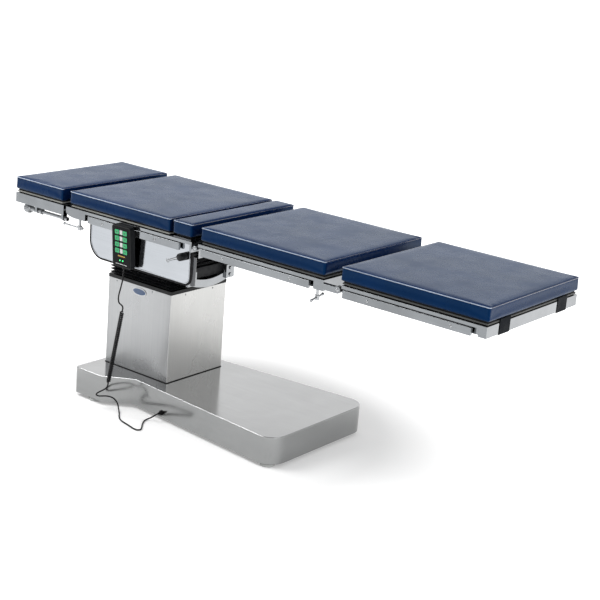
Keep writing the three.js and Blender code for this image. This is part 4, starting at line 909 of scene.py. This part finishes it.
def plateEdge(look, inset):
    start, end, bottom, top = look["start"] + inset, look["end"] - inset, look["bottom"] + inset, look["top"]
    head, foot = look["headRadius"] - inset, look["footRadius"] - inset
    headX, headZ, footX, footZ = start + head, bottom + head, end - foot, bottom + foot
    edge = [(start, top + (headZ - top) * i / 8, -1, 0) for i in range(8)]
    edge += [(x, z, (x - headX) / head, (z - headZ) / head) for x, z in arc(headX, headZ, head, 180, 270, 18)]
    edge += [(headX + (footX - headX) * i / 20, bottom, 0, -1) for i in range(1, 20)]
    edge += [(x, z, (x - footX) / foot, (z - footZ) / foot) for x, z in arc(footX, footZ, foot, 270, 360, 12)]
    edge += [(end, footZ + (top - footZ) * i / 8, 1, 0) for i in range(1, 9)]
    return edge


def plateTrim(look, side):
    corner, out, back = look["trimCorner"], look["trimOut"], -look["trimIn"]
    low, high = look["inner"] - look["trimProud"], look["outer"] + look["trimProud"]
    section = [(out, low + corner), (out, high - corner), (out - corner, high), (back + corner, high),
               (back, high - corner), (back, low + corner), (back + corner, low), (out - corner, low)]
    rings = []
    for x, z, nx, nz in plateEdge(look, 0):
        rings.append([at(x + nx * away, side * y, z + nz * away) for away, y in section])
    return stitched(rings)


def makePlateEdge(side, title, look):
    addPiece("plateTrim" + title, plateTrim(look, side), blackRubber, "back_section", "black_rubber")
    path = [at(x, side * (look["outer"] + 0.1), z) for x, z, _, _ in plateEdge(look, look["rimInset"])]
    addPiece("plateRim" + title, swept(path, look["rimRadius"] * mm, 8), plateSheet, "back_section", "polished_steel")


for side, word in sides.items():
    makePlateEdge(side, word.capitalize(), plateLook)

# Accessory rails on spacer bosses
railLook = {"inner": 252, "outer": 262, "low": 628, "high": 652, "edge": 1.6, "bossRadius": 9, "bossInner": 246.3}
rails = {
    "back": {"body": "back_section", "start": 368, "end": 790, "screws": (439.7, 682.8)},
    "seat": {"body": "seat_section", "start": 885, "end": 1322, "screws": (976.8, 1247.7)},
    "leg": {"body": "leg_section", "start": 1447, "end": 1890, "screws": (1536.9, 1824.0)},
}


def makeRail(name, spec, side, look):
    word = sides[side]
    ys = sorted((side * look["inner"], side * look["outer"]))
    shapes = [slab(at(spec["start"], ys[0], look["low"]), at(spec["end"], ys[1], look["high"]), look["edge"] * mm, 3)]
    reach, radius = look["inner"] + 1 - look["bossInner"], look["bossRadius"]
    boss = [(0, 0), (radius - 0.5, 0), (radius, 0.5), (radius, reach), (0, reach)]
    for x in spec["screws"]:
        foot = at(x, side * look["bossInner"], (look["low"] + look["high"]) / 2)
        shapes.append(turned(boss, foot, (0, side, 0), 32))
    addPiece(
        name + "Rail" + word.capitalize(), together(*shapes), polishedSteel, spec["body"], "polished_steel",
        (name + "_rail_" + word,), flat=True,
    )


for name, spec in rails.items():
    for side in sides:
        makeRail(name, spec, side, railLook)
print("plates trimmed and rails mounted")


# Screw heads: one domed head with a hexagon socket, set on each point
screwLook = {"radius": 5.2, "height": 2.6, "socket": 2.0, "segments": 24, "rings": 12}


def makeScrewTree(look):
    shape = NodeShape("screwHeads", {
        "Points": "Geometry", "Radius": "Float", "Height": "Float", "Socket": "Float", "Facing": "Vector",
        "Material": "Material",
    })
    size, node = shape.inputs, shape.node
    links = {"Segments": look["segments"], "Rings": look["rings"], "Radius": 1.0}
    ball = node("GeometryNodeMeshUVSphere", links)["Mesh"]
    scale = shape.vector(X=size["Radius"], Y=size["Radius"], Z=size["Height"])
    dome = node("GeometryNodeTransform", {"Geometry": ball, "Scale": scale})["Geometry"]
    links = {"Vertices": 6, "Radius": size["Socket"], "Depth": size["Height"]}
    hexagon = node("GeometryNodeMeshCylinder", links)["Mesh"]
    links = {"Geometry": hexagon, "Translation": shape.vector(Z=size["Height"])}
    hexagon = node("GeometryNodeTransform", links)["Geometry"]
    head = node("GeometryNodeMeshBoolean", {"Mesh 1": dome, "Mesh 2": hexagon}, operation="DIFFERENCE")["Mesh"]
    turn = node("FunctionNodeAlignRotationToVector", {"Vector": size["Facing"]}, axis="Z")["Rotation"]
    points = node("GeometryNodeMeshToPoints", {"Mesh": size["Points"]})["Points"]
    links = {"Points": points, "Instance": head, "Rotation": turn}
    return shape.finish(node("GeometryNodeInstanceOnPoints", links)["Instances"])


screwTree = makeScrewTree(screwLook)


def makeScrews(name, places, facing, body, radius=screwLook["radius"], height=screwLook["height"]):
    socket = screwLook["socket"] * mm * radius / screwLook["radius"]
    values = {"Radius": radius * mm, "Height": height * mm, "Socket": socket, "Facing": facing, "Material": chrome}
    carried(screwTree.grow(name, values, [at(*place) for place in places], sharpAngle=40), body, "chrome")


for side, word in sides.items():
    title, out = word.capitalize(), (0, side, 0)
    face = side * (railLook["outer"] - 0.1)
    for name, spec in rails.items():
        makeScrews(name + "RailScrews" + title, [(x, face, 640) for x in spec["screws"]], out, spec["body"])
    makeScrews("legPivotCap" + title, [(1428, side * 262, 648.5)], out, "leg_section", 6.4, 2.2)
    makeScrews("seatPivotCap" + title, [(860, side * 262, 648.5)], out, "seat_section", 6.0, 2.0)
    places = [(571, side * 140.9, 412), (400, side * 140.9, 412)]
    makeScrews("columnScrews" + title, places, out, "pedestal", 3.2, 1.6)
makeScrews("columnFootScrews", [(658.9, -69, 412), (658.9, 69, 412)], (1, 0, 0), "pedestal", 3.2, 1.6)
print("screws set")


# Oval badge of the column, left bare
badgeLook = {"middle": (511, 399), "length": 66, "height": 28, "face": 141, "rim": 3.4, "proud": 1.6}


def oval(look, inset):
    length, height = look["length"] / 2 - inset, look["height"] / 2 - inset
    middleX, middleZ = look["middle"]
    return onPlan([(middleX + length * math.cos(t), middleZ + height * math.sin(t)) for t in fullTurn(48)])


def makeBadge(look):
    face, proud = -look["face"] * mm, look["proud"] * mm
    rim = prism(oval(look, 0), face - proud, face + 0.1 * mm, "Y", 0.6 * mm, 3)
    inner = prism(oval(look, look["rim"]), face - proud - 0.25 * mm, face - 0.4 * mm, "Y", 0.2 * mm, 2)
    addPiece("badgeRim", rim, chrome, "pedestal", "chrome")
    addPiece("badgeFace", inner, badgeBlue, "pedestal", "black_plastic")


makeBadge(badgeLook)

# Handset with its hook, its keys, two lamps and a bare printed strip
handsetLook = {
    "width": 84, "length": 143, "depth": 22, "corner": 6, "edge": 2.4, "lean": 4.5, "place": (553, -253.7, 519),
    "keyWidth": 18.3, "keyHeight": 15.6, "keyColumn": 18.2, "firstRow": 57, "rowPitch": 21.5, "keyFace": 23.5,
    "keyDepth": 18.5, "rows": ("seat", "tilt", "pitch", "height"), "lamp": (6.5, 24), "lead": (553, -264.9, 517.7),
}
handsetLean = Matrix.Rotation(math.radians(handsetLook["lean"]), 4, "X")
handsetPlace = Matrix.Translation(at(*handsetLook["place"])) @ handsetLean @ Matrix.Scale(mm, 4)
handsetProfiles = {
    "lamp": [(0, 0), (2.6, 0), (2.6, 0.6), (2.0, 1.5), (1.0, 2.0), (0, 2.1)],
    "relief": [(0, -8), (3.0, -8), (3.5, -7), (4.2, 0), (5.4, 4), (5.6, 12), (0, 12)],
}


def tile(x, z, width, height, front, back, corner, edge):
    plan = roundedPlan(x - width / 2, x + width / 2, height / 2, corner)
    return prism([(px, z + pz) for px, pz in plan], -front, -back, "Y", edge, 2)


def addHandset(name, shape, material, slot, replaces=(), body="back_section"):
    addPiece(name, moved(shape, handsetPlace), material, body, slot, replaces, flat=True)


def keyFrame(x, z, look):
    halfWidth, halfHeight = look["keyWidth"] / 2, look["keyHeight"] / 2
    outer = roundedPlan(x - halfWidth - 1.6, x + halfWidth + 1.6, halfHeight + 1.6, 3.5)
    inner = roundedPlan(x - halfWidth - 0.4, x + halfWidth + 0.4, halfHeight + 0.4, 2.7)
    front, back = -look["depth"] - 0.5, -look["depth"] + 0.4
    rings = []
    for (ox, oz), (ix, iz) in zip(outer, inner):
        ring = [(ox, back, z + oz), (ox, front, z + oz), (ix, front, z + iz), (ix, back, z + iz)]
        rings.append([Vector(point) for point in ring])
    return stitched(rings, closed=True)


def makeKey(word, side, z, look):
    hand = "left" if side < 0 else "right"
    x, face, tip = side * look["keyColumn"], look["keyFace"], side * 3.4
    name, body = word + hand.capitalize() + "Key", "button_" + word + "_" + hand
    cap = tile(x, z, look["keyWidth"], look["keyHeight"], face, look["keyDepth"], 2.5, 0.8)
    addHandset(name, cap, greenKey, "green_key", ("key_" + word + "_" + hand,), body)
    arrow = [(x - 3.6, z - tip * 0.6), (x + 3.6, z - tip * 0.6), (x, z + tip)]
    addHandset(name + "Mark", prism(arrow, -face - 0.15, -face + 0.2), markGreen, "black_plastic", (), body)
    addHandset(name + "Frame", keyFrame(x, z, look), framePlastic, "black_plastic")


def makeHandset(look):
    half, width, length, depth = look["length"] / 2, look["width"], look["length"], look["depth"]
    shell = tile(0, half, width, length, depth - 0.6, 0.1, look["corner"], look["edge"])
    addHandset("handsetShell", shell, blackPlastic, "black_plastic", ("handset_body",))
    front = tile(0, half, width - 7, length - 7, depth, depth - 1, 4, 0.25)
    addHandset("handsetFront", front, frontPlastic, "black_plastic")
    hook = together(
        slab((538, -271, 652.3), (568, -248.4, 654.9), 0.8), slab((538, -251.4, 645.9), (568, -248.4, 654.9), 0.8),
        slab((538, -271, 640), (568, -266.8, 654.9), 0.8),
    )
    shift = Matrix.Translation((-tableMiddle * mm, 0, 0)) @ Matrix.Scale(mm, 4)
    addPiece("handsetHook", moved(hook, shift), blackPlastic, "back_section", "black_plastic")
    for row, word in enumerate(look["rows"]):
        z = look["firstRow"] + row * look["rowPitch"]
        label = tile(0, z, 12.6, 15, depth + 0.25, depth - 0.2, 1.5, 0.1)
        addHandset("rowLabel" + word.capitalize(), label, whitePrint, "grey_plastic")
        for side in sides:
            makeKey(word, side, z, look)
    bar = tile(0, 39, 34, 4, depth + 0.2, depth - 0.2, 1.8, 0.08)
    addHandset("handsetBar", bar, goldPrint, "green_key")
    x, z = look["lamp"]
    for side, title in ((-1, "Left"), (1, "Right")):
        lamp = turned(handsetProfiles["lamp"], Vector((side * x, -depth + 0.1, z)), (0, -1, 0), 20, 1)
        addHandset("handsetLamp" + title, lamp, greenLamp, "green_key")
    line = tile(0, 11, 52, 1.6, depth + 0.2, depth - 0.2, 0.7, 0.08)
    addHandset("handsetLine", line, whitePrint, "grey_plastic")
    relief = turned(handsetProfiles["relief"], at(*look["lead"]), (0.02, -0.04, 1), 24)
    addPiece("handsetRelief", relief, blackRubber, "back_section", "black_rubber")


makeHandset(handsetLook)
print("handset made")

# Clamp screws with a sliding T bar
handleLook = {
    "y": 254, "top": 631.7, "screw": 5, "hub": 8, "hubHeight": 16, "bar": 3.5, "ball": 5.5, "ballSteps": 10,
    "thread": 0.35, "threadPitch": 1.8,
}
handles = {
    "back": {"x": 324, "length": 30, "bar": 88, "slide": 32, "turn": 0},
    "seat": {"x": 1352, "length": 25, "bar": 84, "slide": 0, "turn": 14},
}


def ballProfile(middle, radius, steps):
    turns = [math.pi * i / steps for i in range(steps + 1)]
    return [(radius * math.sin(t), middle - radius * math.cos(t)) for t in turns]


def makeHandle(name, spec, side, look):
    word, length, screw, hub = sides[side], spec["length"], look["screw"], look["hub"]
    middle = at(spec["x"], side * look["y"], look["top"] - length)
    half = look["hubHeight"] / 2
    low, high = half + 0.5, length - 0.4
    count = int((high - low) / look["threadPitch"] * 2)
    thread = []
    for i in range(count + 1):
        thread.append((screw - (look["thread"] if i % 2 else 0), low + (high - low) * i / count))
    stem = [(0, low - 3), (screw - 0.6, low - 3), *thread, (screw - 1, length), (0, length)]
    knob = [(0, -half), (hub - 1.6, -half), (hub - 0.4, -half + 0.6), (hub, -half + 1.8), (hub, half - 1.8),
            (hub - 0.4, half - 0.6), (hub - 1.6, half), (0, half)]
    shapes = [turned(profile, middle, (0, 0, 1)) for profile in (stem, knob)]
    turn = 0 if not spec["turn"] else math.pi / 2 - side * math.radians(spec["turn"])
    direction = Vector((math.cos(turn), math.sin(turn), 0))
    start = middle - direction * ((spec["bar"] / 2 + spec["slide"]) * mm)
    rod = [(0, 0), (look["bar"], 0), (look["bar"], spec["bar"]), (0, spec["bar"])]
    shapes.append(turned(rod, start, direction, 24))
    for end in (0, spec["bar"]):
        shapes.append(turned(ballProfile(end, look["ball"], look["ballSteps"]), start, direction, 28))
    addPiece(
        name + "Handle" + word.capitalize(), together(*shapes), chrome, name + "_clamp_" + word, "chrome",
        (name + "_t_handle_" + word,), 45,
    )


for name, spec in handles.items():
    for side in sides:
        makeHandle(name, spec, side, handleLook)

# Clamp rod under the head section, with a fluted knob
clampLook = {
    "y": -238, "z": 613.6, "flutes": 14, "fluteDepth": 1.3, "fluteStart": 38, "fluteEnd": 56, "sides": 96,
    "shaft": [(0, 82), (6.5, 82), (6.5, 105.5), (9.4, 106), (10, 107), (10, 119), (9.4, 120), (6.5, 120.4),
              (6.5, 235.6), (7.2, 236), (7.5, 237), (7.5, 245.5), (6.8, 247), (0, 247)],
    "knob": [(0.01, 33), (9.5, 33.2), (13.6, 34.2), (16.2, 36.2), (17.4, 39.5), (17.6, 44), (17.6, 50), (17.2, 54),
             (15.8, 57), (12.4, 59.6), (9.0, 61.2), (8.6, 66), (8.4, 80), (7.6, 83), (0.01, 83)],
}


def makeClampRod(look):
    rings = []
    for radius, x in look["knob"]:
        depth = look["fluteDepth"] if look["fluteStart"] < x < look["fluteEnd"] else 0
        ring = []
        for turn in fullTurn(look["sides"]):
            reach = radius - depth * max(0, math.cos(look["flutes"] * turn)) ** 2
            ring.append(at(x, look["y"] + reach * math.cos(turn), look["z"] + reach * math.sin(turn)))
        rings.append(ring)
    shaft = turned(look["shaft"], at(0, look["y"], look["z"]), (1, 0, 0))
    rod = together(shaft, stitched(rings))
    addPiece("clampRod", rod, castSteel, "head_clamp", "chrome", ("head_clamp_rod",), 40)


makeClampRod(clampLook)

# Kidney crank: black boss, bright lever that ends in a ring, and the shaft with its pinions
crankLook = {
    "x": 806, "z": 609, "boss": 13, "bossInner": 246.3, "bossOuter": 275.3, "lever": 56, "leverRadius": 4.3,
    "leverInset": 5, "angle": 203, "ring": 5.0, "ringWire": 2.0, "ringSteps": 40, "shaft": 7, "shaftEnd": 196,
    "pinion": 9.7, "pinionAt": 180, "pinionHalf": 6, "teeth": 18, "tooth": 1.7,
}


def makeCrankBoss(look, middle, near):
    boss, inner, outer = look["boss"], look["bossInner"], look["bossOuter"]
    cap = [(0, inner), (boss - 0.5, inner), (boss, inner + 1), (boss, outer - 9), (boss - 0.6, outer - 8.4),
           (boss - 0.6, outer - 3), (boss - 2.4, outer - 0.8), (boss - 4, outer), (0, outer)]
    shape = turned(cap, middle, near, 48)
    addPiece("crankBoss", shape, blackPlastic, "kidney_shaft", "black_plastic", ("kidney_crank",))


def makeCrankLever(look, middle, near):
    start = middle + near * ((look["bossOuter"] - look["leverInset"]) * mm)
    angle = math.radians(look["angle"])
    direction = Vector((math.cos(angle), 0, math.sin(angle)))
    side = direction.cross(near)
    reach, radius = look["lever"] - look["ring"] - 0.4, look["leverRadius"]
    arm = [(0, 9), (radius + 1.2, 9), (radius + 1.2, 16), (radius, 19), (3.4, reach - 4), (3.0, reach), (0, reach)]
    ringMiddle = start + direction * (look["lever"] * mm)
    rings = []
    for t in fullTurn(look["ringSteps"]):
        out = direction * math.cos(t) + side * math.sin(t)
        rings.append(ringAlong(ringMiddle + out * (look["ring"] * mm), out, near, look["ringWire"] * mm, 12))
    lever = together(turned(arm, start, direction, 28), stitched(rings, closed=True))
    addPiece("crankLever", lever, chrome, "kidney_shaft", "chrome", (), 45)


def makeCrankShaft(look, middle, near):
    inner, radius = look["bossInner"], look["shaft"]
    length = inner + look["shaftEnd"]
    rod = [(0, 0), (radius, 0), (radius, length), (0, length)]
    shapes = [turned(rod, middle + near * (inner * mm), -near, 32)]
    for side in sides:
        start = side * look["pinionAt"] - look["pinionHalf"]
        gear = []
        for i, turn in enumerate(fullTurn(look["teeth"] * 4)):
            reach = look["pinion"] if i % 4 < 2 else look["pinion"] - look["tooth"]
            gear.append((look["x"] + reach * math.cos(turn), look["z"] + reach * math.sin(turn)))
        shapes.append(prism(onPlan(gear), start * mm, (start + 2 * look["pinionHalf"]) * mm, "Y"))
    addPiece("crankShaft", together(*shapes), castIron, "kidney_shaft", "chrome")


for make in (makeCrankBoss, makeCrankLever, makeCrankShaft):
    make(crankLook, at(crankLook["x"], 0, crankLook["z"]), Vector((0, -1, 0)))

# Levelling feet and the cord's grommet, as tall and as long as the CAD solids that they replace
feet = {
    "foot_head_near": (416, -236), "foot_head_far": (416, 236),
    "foot_leg_near": (1185, -218), "foot_leg_far": (1185, 218),
}
footProfile = [(0, 0), (23.6, 0), (24.6, 0.6), (25, 1.8), (25, 6.2), (24.2, 7.8), (22, 9), (8, 9)]
# Radius, and how far short of the grommet's outer end
grommetProfile = [
    (5, 15), (7.8, 15), (8.8, 14.4), (9, 13.4), (8.6, 12.4), (5.6, 11.6), (4.9, 9), (4.9, 7.6), (4.3, 7), (4.3, 5.8),
    (4.7, 5.2), (4.5, 3.4), (3.9, 3), (3.9, 2), (4.2, 1.4), (3.6, 0), (0, 0),
]


def makeFoot(node, place):
    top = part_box(node)[1].z / mm - 0.1
    title = "".join(word.capitalize() for word in node.split("_")[1:])
    shape = turned([*footProfile, (8, top), (0, top)], at(*place, 0), (0, 0, 1), 48)
    addPiece("foot" + title, shape, greyPlastic, "pedestal", "grey_plastic", (node,))


def makeGrommet():
    low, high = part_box("cord_grommet")
    start = Vector(((low.x + high.x) / 2, high.y, (low.z + high.z) / 2))
    reach = (high.y - low.y) / mm
    profile = [(0, 0), (5, 0), *[(radius, reach - short) for radius, short in grommetProfile]]
    shape = turned(profile, start, (0, -1, 0))
    addPiece("cordGrommet", shape, blackRubber, "pedestal", "black_rubber", ("cord_grommet",))


for node, place in feet.items():
    makeFoot(node, place)
makeGrommet()
print("handles, clamp rod, crank, feet and grommet made")


# Webbing straps that hold the leg cushion on its frame
strapLook = {
    "front": 1942, "inner": 138, "width": 57, "thickness": 1.7, "low": 630.0, "top": 677, "under": 34, "ribs": 9,
    "bend": 1.8, "steps": 48, "gap": 0.05, "rib": 0.12, "selvage": 0.35,
}


def strapLine(look):
    front, low, bend = look["front"] - look["gap"], look["low"] + look["gap"], look["bend"]
    line = [(front - look["under"] + i * (look["under"] - bend) / 8, low) for i in range(9)]
    line += arc(front - bend, low + bend, bend, 270, 360, 5)[1:]
    return line + [(front, low + bend + (look["top"] - low - bend) * i / 16) for i in range(1, 17)]


def makeStrap(name, node, side, look):
    count, thick = look["steps"], look["thickness"] - 2 * look["gap"]
    line = strapLine(look)
    rows = []
    for k, (x, z) in enumerate(line):
        x0, z0 = line[max(k - 1, 0)]
        x1, z1 = line[min(k + 1, len(line) - 1)]
        length = math.hypot(x1 - x0, z1 - z0)
        nx, nz = (z1 - z0) / length, -(x1 - x0) / length
        outer, inner = [], []
        for i in range(count + 1):
            y = side * (look["inner"] + look["width"] * i / count)
            rib = look["rib"] * (1 - math.cos(2 * math.pi * look["ribs"] * i / count))
            edge = look["selvage"] * max(0, 1 - min(i, count - i) / 1.5)
            outer.append(at(x - nx * (rib + edge), y, z - nz * (rib + edge)))
            inner.append(at(x - nx * (thick - edge), y, z - nz * (thick - edge)))
        rows.append(outer + inner[::-1])
    addPiece(name, stitched(rows), webbing, "leg_section", "black_rubber", (node,), 50)


for side, word in sides.items():
    makeStrap("legStrap" + word.capitalize(), "leg_strap_" + word, side, strapLook)

# Finishes of the solids that stay as they are
stayFinishes = {
    "bellows_frame": blackPlastic, "base_frame": paintedIron, "battery_pack": blackPlastic, "outer_mast": castSteel,
    "control_box": paintedIron, "inner_mast": castSteel, "lift_actuator": paintedIron, "lift_rod": chrome,
}
for node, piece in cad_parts.items():
    painted(piece.data, stayFinishes.get(node, polishedSteel))
print("finishes assigned")


# Studio: white floor with a glow of painted light that is low near the base and full farther out, so it keeps a soft
# shadow only near the base; a pale room with a darker band under its ceiling, and two soft lamps
studio = {
    "floorSize": 80, "floorLevel": -0.0004, "floorGlow": (0.26, 1.0), "floorColour": 0.80, "floorFade": (0.62, 1.15),
    "floorMiddle": (800, -110, 0), "floorBounce": 0.3, "aim": (900, 0, 500),
    "room": ((0.0, 1.0), (0.36, 1.0), (0.50, 0.34), (0.82, 0.30), (0.90, 0.75), (1.0, 0.85)),
    "lamps": {
        "key": {"place": (-1250, -1250, 3450), "size": 2.2, "power": 115},
        "side": {"place": (4400, -900, 1500), "size": 2.2, "power": 35},
    },
}


def floorFinish(look):
    grey, white = (look["floorColour"],) * 3 + (1,), (1, 1, 1, 1)
    finish = Finish("studioFloor", Roughness=1.0, Specular_IOR_Level=0.0, Base_Color=grey, Emission_Color=white)
    # The glow rises with distance from floorMiddle: painted light that washes out the table's shadow away from the
    # base
    away = finish.node("ShaderNodeVectorMath", finish.coordinates, operation="DISTANCE")
    away.inputs[1].default_value = at(*look["floorMiddle"])
    finish.driven(Emission_Strength=finish.ranged(away.outputs["Value"], *look["floorGlow"], *look["floorFade"]))
    plain = finish.node("ShaderNodeBsdfDiffuse", Color=(look["floorBounce"],) * 3 + (1,))
    rays = finish.node("ShaderNodeLightPath").outputs
    seen = finish.math("MAXIMUM", rays["Is Camera Ray"], rays["Is Glossy Ray"])
    seen = finish.math("MAXIMUM", seen, rays["Is Transmission Ray"])
    mix = finish.node("ShaderNodeMixShader", seen, plain.outputs[0], finish.shader.outputs[0])
    finish.link(mix.outputs[0], finish.tree.nodes["Material Output"].inputs["Surface"])
    return finish.material


def makeFloor(look):
    size, level = look["floorSize"], look["floorLevel"]
    corners = [(-size, -size, level), (size, -size, level), (size, size, level), (-size, size, level)]
    floor = linked("studioFloor", meshFrom("studioFloor", corners, faces=[(0, 1, 2, 3)]))
    painted(floor.data, floorFinish(look))


def makeWorld(look):
    world = bpy.data.worlds.new("studio")
    world.use_nodes = True
    tree = world.node_tree
    direction = tree.nodes.new("ShaderNodeTexCoord")
    parts = tree.nodes.new("ShaderNodeSeparateXYZ")
    room = tree.nodes.new("ShaderNodeValToRGB")
    stops = room.color_ramp.elements
    while len(stops) < len(look["room"]):
        stops.new(0.5)
    for stop, (height, level) in zip(stops, look["room"]):
        stop.position = height
        stop.color = (level, level, level, 1)
    tree.links.new(direction.outputs["Generated"], parts.inputs[0])
    tree.links.new(parts.outputs["Z"], room.inputs[0])
    tree.links.new(room.outputs[0], tree.nodes["Background"].inputs["Color"])
    bpy.context.scene.world = world


def makeLamp(name, spec, aim):
    data = bpy.data.lights.new(name, "AREA")
    data.energy = spec["power"]
    data.size = spec["size"]
    lamp = linked(name, data)
    lamp.location = at(*spec["place"])
    lamp.rotation_euler = (at(*aim) - lamp.location).to_track_quat("-Z", "Y").to_euler()


makeFloor(studio)
makeWorld(studio)
for name, spec in studio["lamps"].items():
    makeLamp(name + "Lamp", spec, studio["aim"])
bpy.context.scene.view_settings.view_transform = "Standard"
print("studio lit")
